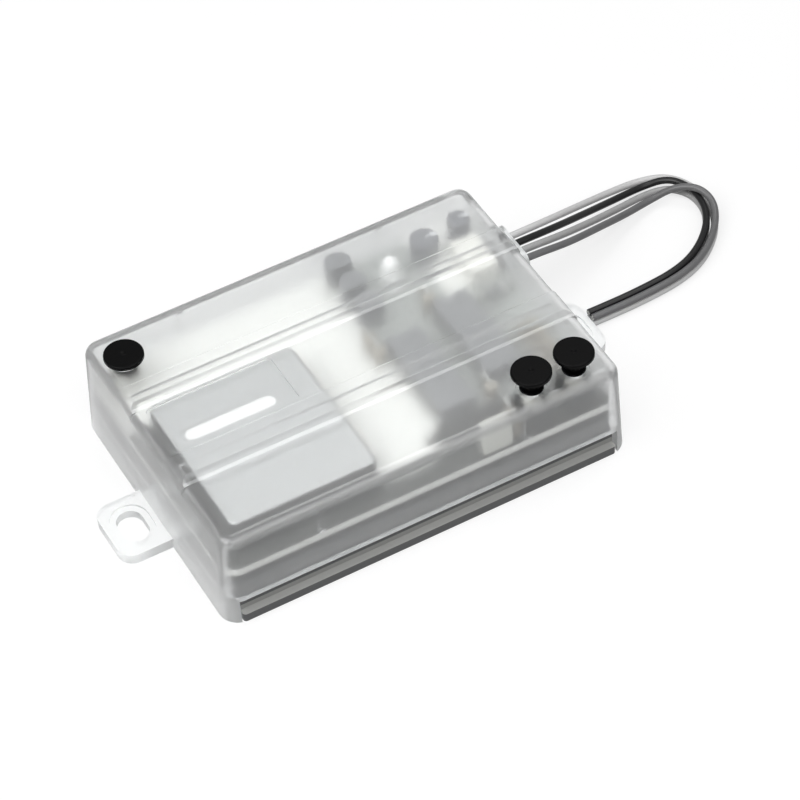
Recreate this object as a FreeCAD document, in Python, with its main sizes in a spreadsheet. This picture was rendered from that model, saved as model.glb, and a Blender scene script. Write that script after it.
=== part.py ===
"""Proximity sensor of a car alarm, in millimetres.

A frosted cover with two fixing ears snaps over a black base. Between them lies the
radar board: a tinned can over the microwave circuit on the left, the amplifier and
logic on the right. Three trimmers are set with a screwdriver through the roof, and a
rubber plug closes each hole. Four hook-up leads come out of the right end.

The origin is the middle of the base's underside. +X points to the end with the leads,
+Y to the rear and +Z up.
"""
import FreeCAD
import Part
import Sketcher
import math
import os

SIZES = {
    # Cover, outside
    "cover_length": 76.0,
    "cover_width": 54.4,
    "cover_height": 18.7,
    "cover_draft": 0.95,
    "cover_corner_radius": 3.6,
    "cover_edge_round": 2.0,
    "cover_wall": 1.7,
    "cover_roof": 1.7,
    "end_foot_thickness": 2.5,
    "side_cutout_height": 4.9,
    # Two raised ridges along the roof, with a sloped front flank
    "ridge_height": 0.6,
    "rear_ridge_foot": 7.4,
    "rear_ridge_edge": 8.9,
    "rear_ridge_back": 12.9,
    "front_ridge_foot": -11.4,
    "front_ridge_edge": -9.9,
    "front_ridge_back": -5.0,
    "ridge_toe": 0.3,
    "groove_shift": 0.33,
    "ridge_round": 0.4,
    # Shallow recess for a label between the ridges
    "label_depth": 0.35,
    "label_margin": 0.8,
    "label_end_margin": 3.4,
    "label_length": 23.3,
    "label_corner_radius": 0.8,
    # Fixing ears
    "ear_reach": 8.8,
    "ear_width": 12.6,
    "ear_middle": -0.65,
    "ear_thickness": 2.0,
    "ear_corner_radius": 2.8,
    "ear_slot_width": 4.6,
    "ear_slot_length": 7.0,
    "ear_slot_inset": 4.6,
    "ear_seat_margin": 1.1,
    "ear_seat_depth": 0.4,
    # Ribs inside the cover that hold the board down
    "rib_inset": 18.8,
    "rib_width": 1.0,
    "rib_lap": 0.45,
    "rib_clearance": 0.1,
    # Raised marks that the ejector pins left under the roof
    "ejector_radius": 2.7,
    "ejector_rise": 0.1,
    "ejector_end_inset": 10.9,
    "ejector_side_inset": 11.1,
    # Screwdriver holes in the roof
    "hole_radius": 1.6,
    "seat_radius": 2.6,
    "seat_depth": 0.4,
    # Lipped outlet for the leads
    "outlet_inset": 14.5,
    "outlet_rise": 1.2,
    "outlet_width": 8.0,
    "outlet_height": 2.1,
    "lip_length": 1.95,
    "lip_wall": 1.15,
    "lip_root_wall": 0.8,
    "lip_corner_radius": 1.3,
    # Base
    "floor_thickness": 1.7,
    "base_clearance": 0.3,
    "base_corner_radius": 0.6,
    "sill_width": 1.4,
    "sill_clearance": 0.1,
    "tongue_drop": 1.6,
    "tongue_wall": 1.3,
    "tongue_clearance": 0.2,
    "tongue_corner_radius": 1.2,
    "post_width": 2.5,
    "post_inset": 0.65,
    "peg_radius": 0.7,
    "peg_inset": 1.8,
    "peg_clearance": 0.15,
    "peg_height": 0.8,
    "hook_width": 5.0,
    "hook_height": 1.8,
    "hook_reach": 0.6,
    "hook_place": 14.0,
    # Board
    "board_depth": 9.1,
    "board_thickness": 1.6,
    "board_clearance": 0.25,
    "board_corner_radius": 1.6,
    "solder_side_reach": 1.0,
    # Tinned can over the microwave circuit
    "can_end_inset": 4.6,
    "can_front_inset": 5.4,
    "can_length": 27.0,
    "can_width": 30.3,
    "can_height": 5.3,
    "can_sheet": 0.4,
    "can_corner_radius": 1.5,
    "can_edge_round": 0.7,
    "can_slot_left_margin": 2.4,
    "can_slot_right_margin": 7.7,
    "can_slot_rear_margin": 9.0,
    "can_slot_width": 3.0,
    "window_lap": 1.0,
    "window_thickness": 0.3,
    "puck_radius": 2.9,
    "puck_height": 2.4,
    "oscillator_body_length": 2.9,
    "oscillator_body_width": 1.5,
    "oscillator_body_height": 1.0,
    "oscillator_leg_reach": 0.75,
    # Trimmers and the plugs above them
    "trimmer_side": 4.5,
    "trimmer_height": 3.7,
    "trimmer_pin_pitch": 1.25,
    "rotor_radius": 1.55,
    "rotor_height": 1.45,
    "rotor_proud": 0.15,
    "rotor_clearance": 0.3,
    "rotor_slot_width": 0.6,
    "rotor_slot_depth": 0.6,
    "spindle_radius": 0.45,
    "spindle_length": 0.8,
    "factory_end_inset": 5.7,
    "factory_rear_inset": 8.4,
    "range_end_inset": 7.8,
    "range_front_inset": 5.3,
    "range_pitch": 8.1,
    "plug_head_radius": 3.45,
    "plug_rim": 0.7,
    "plug_edge_round": 0.3,
    "plug_cone_radius": 3.2,
    "plug_cone_depth": 2.0,
    "plug_neck_radius": 1.5,
    "plug_barb_radius": 2.05,
    "plug_barb_top": 3.65,
    "plug_barb_edge": 0.35,
    "plug_barb_taper": 0.55,
    "plug_tip_radius": 1.45,
    "plug_length": 4.85,
    "plug_dimple_radius": 0.5,
    "plug_dimple_depth": 0.15,
    "plug_seat_clearance": 0.03,
    # Leads and their header
    "lead_diameter": 1.3,
    "lead_pitch": 2.0,
    "lead_straight_run": 3.0,
    "header_setback": 4.4,
    "header_depth": 5.0,
    "header_height": 3.6,
    "header_wall": 1.2,
    "header_pin_side": 0.6,
    "header_pin_inset": 1.6,
    # Other parts of the board
    "pin_clearance": 0.1,
    "led_radius": 1.5,
    "led_flange_radius": 1.9,
    "led_flange_height": 1.0,
    "led_standoff": 0.5,
    "led_height": 4.8,
    "led_lead_side": 0.5,
    "led_lead_pitch": 2.54,
    "chip_width": 6.35,
    "chip_height": 3.3,
    "chip_standoff": 0.5,
    "chip_leg_pitch": 2.54,
    "chip_leg_width": 0.5,
    "chip_leg_sheet": 0.3,
    "chip_leg_row": 7.62,
    "chip_end_margin": 1.9,
    "chip_notch_radius": 0.8,
    "chip_notch_depth": 0.4,
    "small_can_diameter": 4.8,
    "small_can_flat": 1.3,
    "small_can_height": 4.4,
    "small_can_standoff": 0.8,
    "small_can_lead_side": 0.45,
    "small_can_lead_pitch": 1.27,
    "supply_radius": 2.5,
    "timing_radius": 2.0,
    "electrolytic_height": 5.2,
    "electrolytic_groove": 0.25,
    "electrolytic_lead_radius": 0.3,
    "film_length": 5.6,
    "film_width": 1.6,
    "film_height": 4.9,
    "film_standoff": 0.3,
    "film_round": 0.5,
    "film_lead_pitch": 3.8,
    "resistor_radius": 0.9,
    "resistor_length": 3.4,
    "resistor_cap_radius": 1.05,
    "resistor_cap_length": 0.8,
    "resistor_lead_radius": 0.25,
    "resistor_lead_span": 7.6,
    "resistor_pitch": 2.54,
    "choke_radius": 0.95,
    "choke_length": 12.0,
    "choke_cap_radius": 1.1,
    "choke_cap_length": 1.6,
    "choke_lead_radius": 0.3,
    "choke_lead_span": 14.4,
    "standing_gap": 0.5,
    "standing_span": 2.54,
}

# Places of the small parts in the right half of the board. The first number is the
# distance from the cover's right end. The second is the distance from its front or rear
# side, or, for the parts along the middle, the place on Y itself.
FILM_FROM_FRONT = (24.1, 3.6)
CHOKE_FROM_FRONT = (25.3, 8.9)
RANGE_RESISTORS_FROM_OUTER_TRIMMER = [(4.1, -0.7), (4.1, 6.2)]
LED_FROM_REAR = (20.5, 9.7)
REGULATOR_FROM_REAR = (28.4, 16.8)
WARNING_TRANSISTOR_FROM_REAR = (28.4, 11.0)
ALARM_TRANSISTOR_FROM_REAR = (28.4, 5.6)
SUPPLY_FROM_REAR = (13.0, 8.2)
TIMING_FROM_REAR = (5.5, 7.0)
AMPLIFIER_PLACE = (26.6, -7.0)
CONTROLLER_PLACE = (15.6, -3.4)
DIODE_PLACE = (7.1, 4.6)
FLAT_RESISTOR_PLACE = (7.1, -15.4)
FLAT_RESISTOR_COUNT = 5
STANDING_RESISTOR_PLACES = [(31.8, 1.0), (31.8, 4.2), (18.6, 7.6)]

# Places in the can, from its left and front walls
PUCK_IN_CAN = (13.4, 12.8)
OSCILLATOR_IN_CAN = (19.8, 12.8)

# Shares of another length
ROUND_END = 0.999
BEND_SHARE = 0.45
WIRE_SPREAD = 0.4

# Centre lines of the leads once they have left the lip: down to the standing surface,
# round the bend and back to the right ear as a bundle of two by two. X is counted from
# the cover's right end, Y from the outlet's middle and Z from the standing surface.
LEAD_ROUTES = {
    "lead_light_grey": [
        (11, 5.1, 10.1), (19, 8.6, 6.3), (27, 11.9, 2.7), (34.5, 13.5, 0.7),
        (39.8, 11.9, 0.7), (42.5, 7.5, 0.7), (42.8, 1.9, 0.7), (40.8, -3.3, 0.7),
        (36.9, -7.6, 0.7), (32.2, -10.6, 0.7), (26.8, -12.1, 0.7), (20.8, -12.6, 0.7),
        (15, -12.8, 0.7), (9.3, -12.7, 0.7),
    ],
    "lead_black": [
        (11, 2.9, 10.1), (19, 6.4, 6.3), (27, 9.8, 2.7), (34.4, 11.7, 0.9),
        (39, 10.3, 1.9), (41.1, 6.5, 2.15), (41.3, 2.1, 2.1), (39.6, -2.3, 2.1),
        (36, -6.3, 2.1), (31.6, -9.2, 2.1), (26.6, -10.7, 2.1), (20.7, -11.2, 2.1),
        (15, -11.4, 2.1), (9.3, -11.3, 2.1),
    ],
    "lead_mid_grey": [
        (11, 0.6, 10.1), (19, 4, 6.3), (27, 7.5, 2.7), (34, 9.8, 0.7),
        (38.5, 9.1, 0.7), (41, 5.9, 0.7), (41.3, 1.8, 0.7), (39.6, -2.3, 0.7),
        (36, -6.3, 0.7), (31.6, -9.2, 0.7), (26.6, -10.7, 0.7), (20.7, -11.2, 0.7),
        (15, -11.4, 0.7), (9.3, -11.3, 0.7),
    ],
    "lead_dark_grey": [
        (11, -1.7, 10.2), (19, 1.9, 6.5), (27, 5.3, 3), (33.6, 7.5, 1.4),
        (38.2, 6.9, 2.8), (41.4, 4.1, 3.7), (42.5, 0.5, 2.9), (40.8, -3.3, 2.1),
        (36.9, -7.6, 2.1), (32.2, -10.6, 2.1), (26.8, -12.1, 2.1), (20.8, -12.6, 2.1),
        (15, -12.8, 2.1), (9.3, -12.7, 2.1),
    ],
}

document = FreeCAD.newDocument("ProximitySensor")
sheet = document.addObject("Spreadsheet::Sheet", "Sizes")
for row, (word, number) in enumerate(SIZES.items(), start=1):
    sheet.set(f"A{row}", word)
    sheet.set(f"B{row}", f"{number:.4f}")
    sheet.setAlias(f"B{row}", word)
document.recompute()


class Size:
    """A length with the formula that the document keeps and its present value."""

    def __init__(self, text, value):
        self.text = text
        self.value = value

    def __add__(self, other):
        other = as_size(other)
        return Size(f"({self.text} + {other.text})", self.value + other.value)

    def __sub__(self, other):
        other = as_size(other)
        return Size(f"({self.text} - {other.text})", self.value - other.value)

    def __mul__(self, other):
        other = as_size(other)
        return Size(f"({self.text} * {other.text})", self.value * other.value)

    def __truediv__(self, other):
        other = as_size(other)
        return Size(f"({self.text} / {other.text})", self.value / other.value)

    def __neg__(self):
        return Size(f"(0 - {self.text})", -self.value)

    def __radd__(self, other):
        return as_size(other) + self

    def __rsub__(self, other):
        return as_size(other) - self

    def __rmul__(self, other):
        return as_size(other) * self


def as_size(length):
    """Return a Size for a word of the sheet, a plain number or a Size."""
    if isinstance(length, Size):
        return length
    if isinstance(length, str):
        return Size(f"Sizes.{length}", float(sheet.get(length)))
    return Size(f"({length:.6g})", float(length))


def size(word):
    return as_size(word)


def bind(thing, slot, length):
    """Tie one property of an object to the sheet."""
    thing.setExpression(slot, as_size(length).text)


def place(thing, x=0.0, y=0.0, z=0.0):
    for letter, length in zip("xyz", (x, y, z)):
        bind(thing, f"Placement.Base.{letter}", length)


# Part primitives and booleans

def block(name, x, y, z):
    """A box between two X, two Y and two Z values."""
    box = document.addObject("Part::Box", name)
    for side, (low, high) in zip(("Length", "Width", "Height"), (x, y, z)):
        bind(box, side, as_size(high) - low)
    place(box, x[0], y[0], z[0])
    return box


def rod(name, radius, x, y, z):
    """An upright cylinder from z[0] to z[1]."""
    cylinder = document.addObject("Part::Cylinder", name)
    bind(cylinder, "Radius", radius)
    bind(cylinder, "Height", as_size(z[1]) - z[0])
    place(cylinder, x, y, z[0])
    return cylinder


def fuse(name, shapes):
    joined = document.addObject("Part::MultiFuse", name)
    joined.Shapes = shapes
    joined.Refine = True
    return joined


def cut(name, base, tools):
    """Take the tools away from the base."""
    left = document.addObject("Part::Cut", name)
    left.Base = base
    left.Tool = tools[0] if len(tools) == 1 else fuse(name + "_tools", tools)
    left.Refine = True
    return left


def common(name, first, second):
    shared = document.addObject("Part::Common", name)
    shared.Base = first
    shared.Tool = second
    return shared


def group(name, shapes):
    """Separate like pieces kept as one node."""
    together = document.addObject("Part::Compound", name)
    together.Links = shapes
    return together


def round_edges(name, base, radius, wanted):
    """Round each edge of the base that the test named wanted picks."""
    document.recompute()
    rounded = document.addObject("Part::Fillet", name)
    rounded.Base = base
    width = size(radius).value
    rounded.Edges = [
        (number, width, width)
        for number, edge in enumerate(base.Shape.Edges, start=1)
        if wanted(edge)
    ]
    return rounded


# Sketches and the bodies made from them

def new_body(name):
    return document.addObject("PartDesign::Body", name)


def new_sketch(body, name, role, lift=0.0):
    """A sketch on one of the body's own origin planes, raised along its normal."""
    sketch = body.newObject("Sketcher::SketchObject", name)
    plane = next(part for part in body.Origin.OriginFeatures if part.Role == role)
    sketch.AttachmentSupport = [(plane, "")]
    sketch.MapMode = "FlatFace"
    bind(sketch, "AttachmentOffset.Base.z", lift)
    return sketch


def pin_down(sketch, name, geometry, point, x, y):
    """Hold a point of the sketch at a distance from its origin."""
    for kind, letter, length in (("DistanceX", "x", x), ("DistanceY", "y", y)):
        length = as_size(length)
        number = sketch.addConstraint(
            Sketcher.Constraint(kind, -1, 1, geometry, point, length.value)
        )
        sketch.renameConstraint(number, f"{name}_{letter}")
        sketch.setExpression(f"Constraints[{number}]", length.text)


def draw_polygon(sketch, corners):
    """Straight lines through the corners, each corner tied to the sheet."""
    count = len(corners)
    points = [
        FreeCAD.Vector(as_size(x).value, as_size(y).value, 0.0) for x, y in corners
    ]
    for number in range(count):
        sketch.addGeometry(Part.LineSegment(points[number], points[(number + 1) % count]))
    for number in range(count):
        following = (number + 1) % count
        sketch.addConstraint(Sketcher.Constraint("Coincident", number, 2, following, 1))
    for number, (x, y) in enumerate(corners):
        pin_down(sketch, f"corner_{number}", number, 1, x, y)


def draw_rounded_box(sketch, x, y, radius):
    """A rectangle between two x and two y values with four round corners."""
    radius = as_size(radius)
    left, right = (as_size(value) for value in x)
    low, high = (as_size(value) for value in y)
    centres = [
        (left + radius, low + radius, 180.0),
        (right - radius, low + radius, 270.0),
        (right - radius, high - radius, 0.0),
        (left + radius, high - radius, 90.0),
    ]
    for centre_x, centre_y, start in centres:
        circle = Part.Circle(
            FreeCAD.Vector(centre_x.value, centre_y.value, 0.0),
            FreeCAD.Vector(0.0, 0.0, 1.0),
            radius.value,
        )
        begin = math.radians(start)
        sketch.addGeometry(Part.ArcOfCircle(circle, begin, begin + math.pi / 2))
    for number in range(4):
        arc_end = sketch.Geometry[number].EndPoint
        next_start = sketch.Geometry[(number + 1) % 4].StartPoint
        sketch.addGeometry(Part.LineSegment(arc_end, next_start))
    for number, (centre_x, centre_y, start) in enumerate(centres):
        pin_down(sketch, f"centre_{number}", number, 3, centre_x, centre_y)
        constraint = sketch.addConstraint(
            Sketcher.Constraint("Radius", number, radius.value)
        )
        sketch.setExpression(f"Constraints[{constraint}]", radius.text)
    for number in range(4):
        line = 4 + number
        sketch.addConstraint(Sketcher.Constraint("Tangent", number, 2, line, 1))
        following = (number + 1) % 4
        sketch.addConstraint(Sketcher.Constraint("Tangent", line, 2, following, 1))


def pad(body, name, sketch, length, widening=None):
    """Raise the sketch's outline, with its sides leaning out by a total if one is given."""
    solid = body.newObject("PartDesign::Pad", name)
    solid.Profile = sketch
    bind(solid, "Length", length)
    if widening is not None:
        run = as_size(length)
        rise = as_size(widening)
        angle = math.degrees(math.atan(rise.value / run.value))
        bind(solid, "TaperAngle", Size(f"atan({rise.text} / {run.text})", angle))
    return solid


def pocket(body, name, sketch, length, upward=False):
    """Cut the sketch's outline out of the body, downwards unless upward is set."""
    hollow = body.newObject("PartDesign::Pocket", name)
    hollow.Profile = sketch
    hollow.Reversed = upward
    bind(hollow, "Length", length)
    return hollow


def turned(name, corners):
    """A body turned about Z from corners given as radius and height."""
    body = new_body(name)
    sketch = new_sketch(body, name + "_profile", "XZ_Plane")
    draw_polygon(sketch, corners)
    solid = body.newObject("PartDesign::Revolution", name + "_turned")
    solid.Profile = sketch
    solid.ReferenceAxis = (sketch, ["V_Axis"])
    solid.Angle = 360.0
    return body


def round_in_body(body, name, base, radius, wanted):
    """A PartDesign fillet on each edge of the base that the test named wanted picks."""
    document.recompute()
    fillet = body.newObject("PartDesign::Fillet", name)
    edges = [
        f"Edge{number}"
        for number, edge in enumerate(base.Shape.Edges, start=1)
        if wanted(edge)
    ]
    fillet.Base = (base, edges)
    bind(fillet, "Radius", radius)
    return fillet


def at_height(edge, height):
    """Tell whether the whole edge lies at one height."""
    box = edge.BoundBox
    return abs(box.ZMin - height) < 1e-4 and abs(box.ZMax - height) < 1e-4


# Levels and half widths that several pieces share

half_length = size("cover_length") / 2
half_width = size("cover_width") / 2
roof_top = size("cover_height")
roof_inside = roof_top - "cover_roof"
slope = size("cover_draft") / "cover_height"
cutout = size("side_cutout_height")
board_bottom = roof_top - "board_depth"
board_top = board_bottom + "board_thickness"
hole_seat = roof_top - "seat_depth"
ear_end = half_length + "ear_reach"
outlet_middle = half_width - "outlet_inset"
outlet_level = board_top + "outlet_rise"
can_left = size("can_end_inset") - half_length
can_right = can_left + "can_length"
can_front = size("can_front_inset") - half_width
can_rear = can_front + "can_width"
can_top = board_top + "can_height"
slot_left = can_left + "can_slot_left_margin"
slot_right = can_right - "can_slot_right_margin"
slot_middle = can_rear - "can_slot_rear_margin"
header_face = half_length - "header_setback"

FACTORY = (size("factory_end_inset") - half_length, half_width - "factory_rear_inset")
INNER_ZONE = (half_length - "range_end_inset", size("range_front_inset") - half_width)
OUTER_ZONE = (INNER_ZONE[0] - "range_pitch", INNER_ZONE[1])


def from_front(spot):
    """A place given from the cover's right end and front side."""
    return half_length - spot[0], as_size(spot[1]) - half_width


def from_rear(spot):
    """A place given from the cover's right end and rear side."""
    return half_length - spot[0], half_width - spot[1]


def from_end(spot):
    """A place given from the cover's right end, and as a place on Y."""
    return half_length - spot[0], as_size(spot[1])


def inner_half(half, level):
    """Half the cover's inside measure at a level."""
    return half - slope * level - "cover_wall"


# Cover

def drafted_block(name, top, edge_round):
    """The cover's outer form up to a level, with its upper edge rounded."""
    body = new_body(name)
    foot = new_sketch(body, name + "_foot", "XY_Plane")
    draw_rounded_box(
        foot, (-half_length, half_length), (-half_width, half_width), "cover_corner_radius"
    )
    solid = pad(body, name + "_form", foot, top, -(slope * top))
    height = as_size(top).value
    round_in_body(
        body, name + "_edge", solid, edge_round, lambda edge: at_height(edge, height)
    )
    return body


def ridge(name, foot, edge, back):
    """One ridge along the roof: the part of a taller block within its section.

    The flank runs out into the roof over a short toe of half its slope, and the upper
    edges are rounded, so that each draws a fine line of light along the ridge.
    """
    taller = drafted_block(name + "_block", roof_top + "ridge_height", "cover_edge_round")
    body = new_body(name + "_section")
    sketch = new_sketch(body, name + "_outline", "YZ_Plane", -half_length)
    low = roof_top - size("cover_edge_round") * 2
    high = roof_top + "ridge_height"
    toe = size("ridge_toe")
    toe_rise = size("ridge_height") * toe / (size(edge) - foot)
    draw_polygon(
        sketch,
        [
            (size(foot) - toe, low),
            (back, low),
            (back, high),
            (edge, high),
            (size(foot) + toe, roof_top + toe_rise),
            (size(foot) - toe, roof_top),
        ],
    )
    bar = pad(body, name + "_bar", sketch, "cover_length")
    level = high.value
    round_in_body(
        body,
        name + "_upper_edges",
        bar,
        "ridge_round",
        lambda line: at_height(line, level) and line.BoundBox.XLength > toe.value,
    )
    return common(name, taller, body)


def groove(name, foot, edge, back):
    """The groove under a ridge, in the inner face, so that the roof is as thick there as beside it."""
    reach = inner_half(half_length, roof_inside) - "ridge_height"
    body = new_body(name)
    sketch = new_sketch(body, name + "_outline", "YZ_Plane", -reach)
    low = roof_inside - "ridge_height"
    high = roof_inside + "ridge_height"
    toe = size(foot) + "groove_shift"
    heel = size(back) - "cover_roof"
    draw_polygon(
        sketch,
        [(toe, low), (heel, low), (heel, high), (size(edge) + "groove_shift", high), (toe, roof_inside)],
    )
    pad(body, name + "_room", sketch, reach * 2)
    return body


def ear(name, side):
    """A fixing ear with its long slot and shallow washer seat, at the end side."""
    body = new_body(name)
    inner = half_length - "end_foot_thickness"
    low = size("ear_middle") - size("ear_width") / 2
    high = size("ear_middle") + size("ear_width") / 2
    outline = new_sketch(body, name + "_outline", "XY_Plane")
    draw_rounded_box(outline, (inner, ear_end), (low, high), "ear_corner_radius")
    pad(body, name + "_plate", outline, "ear_thickness")
    slot_x = ear_end - "ear_slot_inset"
    half_slot = size("ear_slot_width") / 2
    half_run = size("ear_slot_length") / 2
    margin = size("ear_seat_margin")
    seat = new_sketch(body, name + "_seat_outline", "XY_Plane", "ear_thickness")
    draw_rounded_box(
        seat,
        (slot_x - half_slot - margin, slot_x + half_slot + margin),
        (size("ear_middle") - half_run - margin, size("ear_middle") + half_run + margin),
        (half_slot + margin) * ROUND_END,
    )
    pocket(body, name + "_seat", seat, "ear_seat_depth")
    slot = new_sketch(body, name + "_slot_outline", "XY_Plane", "ear_thickness")
    draw_rounded_box(
        slot,
        (slot_x - half_slot, slot_x + half_slot),
        (size("ear_middle") - half_run, size("ear_middle") + half_run),
        half_slot * ROUND_END,
    )
    pocket(body, name + "_slot", slot, "ear_thickness")
    if side < 0:
        turn = document.addObject("Part::Mirroring", name + "_mirrored")
        turn.Source = body
        turn.Normal = FreeCAD.Vector(1.0, 0.0, 0.0)
        return turn
    return body


def outlet_lip():
    """The flared lip round the leads, standing out of the right end wall."""
    body = new_body("outlet_lip")
    level = outlet_level
    middle = outlet_middle
    root = half_length - slope * level - size("cover_wall") / 2
    half_y = size("outlet_width") / 2 + "lip_root_wall"
    half_z = size("outlet_height") / 2 + "lip_root_wall"
    sketch = new_sketch(body, "lip_root", "YZ_Plane", root)
    draw_rounded_box(
        sketch,
        (middle - half_y, middle + half_y),
        (level - half_z, level + half_z),
        "lip_corner_radius",
    )
    length = size("cover_wall") / 2 + "lip_length"
    pad(body, "lip_flare", sketch, length, size("lip_wall") - "lip_root_wall")
    return body


def outlet_slot():
    """The opening through the end wall and its lip."""
    body = new_body("outlet_slot")
    middle = outlet_middle
    level = outlet_level
    half_y = size("outlet_width") / 2
    half_z = size("outlet_height") / 2
    sketch = new_sketch(body, "slot_outline", "YZ_Plane", half_length - size("cover_wall") * 3)
    draw_rounded_box(
        sketch,
        (middle - half_y, middle + half_y),
        (level - half_z, level + half_z),
        half_z * ROUND_END,
    )
    pad(body, "slot_run", sketch, size("cover_wall") * 3 + size("lip_length") * 2)
    return body


def cover_hollow():
    """The room inside the cover, above the cut-outs in its long walls."""
    body = new_body("hollow")
    x = inner_half(half_length, cutout)
    y = inner_half(half_width, cutout)
    radius = size("cover_corner_radius") - slope * cutout - "cover_wall"
    sketch = new_sketch(body, "hollow_outline", "XY_Plane", cutout)
    draw_rounded_box(sketch, (-x, x), (-y, y), radius)
    depth = roof_inside - cutout
    pad(body, "hollow_room", sketch, depth, -(slope * depth))
    return body


def board_ribs():
    """Four ribs that run down from the roof and hold the board on its posts."""
    ribs = []
    low = board_top + "rib_clearance"
    high = roof_inside + size("cover_roof") / 2
    wall = inner_half(half_width, roof_inside) + size("cover_wall") / 2
    reach = inner_half(half_width, board_top) - "board_clearance" - "rib_lap"
    for number, (side_x, side_y) in enumerate(((-1, -1), (1, -1), (1, 1), (-1, 1))):
        middle = (half_length - "rib_inset") * side_x
        half = size("rib_width") / 2
        near = reach * side_y
        far = wall * side_y
        depth = (near, far) if side_y > 0 else (far, near)
        ribs.append(block(f"rib_{number}", (middle - half, middle + half), depth, (low, high)))
    return ribs


def ejector_marks():
    """Four low discs under the roof, where the mould's pins pushed the cover out."""
    x = half_length - "ejector_end_inset"
    y = half_width - "ejector_side_inset"
    low = roof_inside - "ejector_rise"
    high = roof_inside + size("cover_roof") / 2
    corners = ((-1, -1), (1, -1), (1, 1), (-1, 1))
    return [
        rod(f"ejector_mark_{number}", "ejector_radius", x * side_x, y * side_y, (low, high))
        for number, (side_x, side_y) in enumerate(corners)
    ]


def build_cover():
    block_outside = drafted_block("cover_outside", roof_top, "cover_edge_round")
    rear_ridge = ridge("rear_ridge", "rear_ridge_foot", "rear_ridge_edge", "rear_ridge_back")
    front_ridge = ridge(
        "front_ridge", "front_ridge_foot", "front_ridge_edge", "front_ridge_back"
    )
    outside = fuse(
        "cover_form",
        [block_outside, rear_ridge, front_ridge, ear("right_ear", 1), ear("left_ear", -1)],
    )
    foot_inside = half_length - "end_foot_thickness"
    lower_room = block(
        "lower_room",
        (-foot_inside, foot_inside),
        (-size("cover_width"), "cover_width"),
        (-size("cover_roof"), cutout),
    )
    label = new_body("label_recess")
    label_outline = new_sketch(label, "label_outline", "XY_Plane", roof_top - "label_depth")
    label_left = size("label_end_margin") - half_length
    draw_rounded_box(
        label_outline,
        (label_left, label_left + "label_length"),
        (size("front_ridge_back") + "label_margin", size("rear_ridge_foot") - "label_margin"),
        "label_corner_radius",
    )
    pad(label, "label_room", label_outline, size("label_depth") * 4)
    tools = [
        cover_hollow(),
        lower_room,
        label,
        groove("rear_groove", "rear_ridge_foot", "rear_ridge_edge", "rear_ridge_back"),
        groove("front_groove", "front_ridge_foot", "front_ridge_edge", "front_ridge_back"),
    ]
    above = roof_top + "ridge_height"
    for name, (x, y) in (("factory", FACTORY), ("outer", OUTER_ZONE), ("inner", INNER_ZONE)):
        tools.append(rod(f"{name}_seat", "seat_radius", x, y, (hole_seat, above)))
        tools.append(rod(f"{name}_hole", "hole_radius", x, y, (board_top, above)))
    shell = cut("cover_shell", outside, tools)
    ribbed = fuse("cover_ribbed", [shell, outlet_lip()] + board_ribs() + ejector_marks())
    return cut("cover", ribbed, [outlet_slot()])


# Base

tongue_top = board_bottom - "tongue_drop"
tongue_x = half_length - "end_foot_thickness" - "base_clearance"
tongue_y = inner_half(half_width, tongue_top) - "tongue_clearance"


def hook(name, side_x, side_y):
    """A snap hook on the base's end tongue, which catches on the cover's end foot."""
    body = new_body(name)
    middle = size("hook_place") * side_y
    sketch = new_sketch(body, name + "_outline", "XZ_Plane", -(middle + size("hook_width") / 2))
    low = cutout + "sill_clearance"
    root = tongue_x - size("tongue_wall") / 2
    corners = [
        (root, low),
        (tongue_x + "hook_reach", low),
        (tongue_x + "hook_reach", low + size("hook_height") / 4),
        (tongue_x, low + "hook_height"),
        (root, low + "hook_height"),
    ]
    if side_x < 0:
        corners = [(-as_size(x), z) for x, z in corners]
    draw_polygon(sketch, corners)
    pad(body, name + "_wedge", sketch, "hook_width")
    return body


def build_base():
    plate = new_body("base_plate")
    plate_outline = new_sketch(plate, "base_outline", "XY_Plane")
    draw_rounded_box(
        plate_outline, (-tongue_x, tongue_x), (-half_width, half_width), "base_corner_radius"
    )
    pad(plate, "base_floor", plate_outline, "floor_thickness")
    sill_y = half_width - "sill_width"
    sill_top = cutout - "sill_clearance"
    sill = block("base_sill", (-tongue_x, tongue_x), (-sill_y, sill_y), (0.0, sill_top))
    tongue = new_body("base_tongue")
    tongue_outline = new_sketch(tongue, "tongue_outline", "XY_Plane")
    draw_rounded_box(
        tongue_outline, (-tongue_x, tongue_x), (-tongue_y, tongue_y), "tongue_corner_radius"
    )
    pad(tongue, "tongue_form", tongue_outline, tongue_top)
    wall = size("tongue_wall")
    post = size("post_width")
    room_x = tongue_x - wall
    room_y = tongue_y - wall
    room = block(
        "base_room",
        (-room_x, room_x),
        (-room_y, room_y),
        ("floor_thickness", tongue_top + wall),
    )
    tray = cut("base_tray", fuse("base_walls", [plate, sill, tongue]), [room])
    pieces = [tray]
    far_x = tongue_x - "post_inset"
    far_y = tongue_y - "post_inset"
    for number, (side_x, side_y) in enumerate(((-1, -1), (1, -1), (1, 1), (-1, 1))):
        x = (far_x - post, far_x) if side_x > 0 else (-far_x, post - far_x)
        y = (far_y - post, far_y) if side_y > 0 else (-far_y, post - far_y)
        pieces.append(block(f"post_{number}", x, y, (0.0, board_bottom)))
        pieces.append(hook(f"hook_{number}", side_x, side_y))
    for number, side in enumerate((-1, 1)):
        x = peg_x * side
        y = -peg_y * side
        top = board_top + "peg_height"
        pieces.append(rod(f"peg_{number}", "peg_radius", x, y, (board_bottom - post, top)))
    return fuse("base", pieces)


# Board and what stands on it

board_x = inner_half(half_length, board_top) - "board_clearance"
board_y = inner_half(half_width, board_top) - "board_clearance"
peg_x = board_x - "peg_inset"
peg_y = board_y - "peg_inset"
board_holes = []


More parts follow.
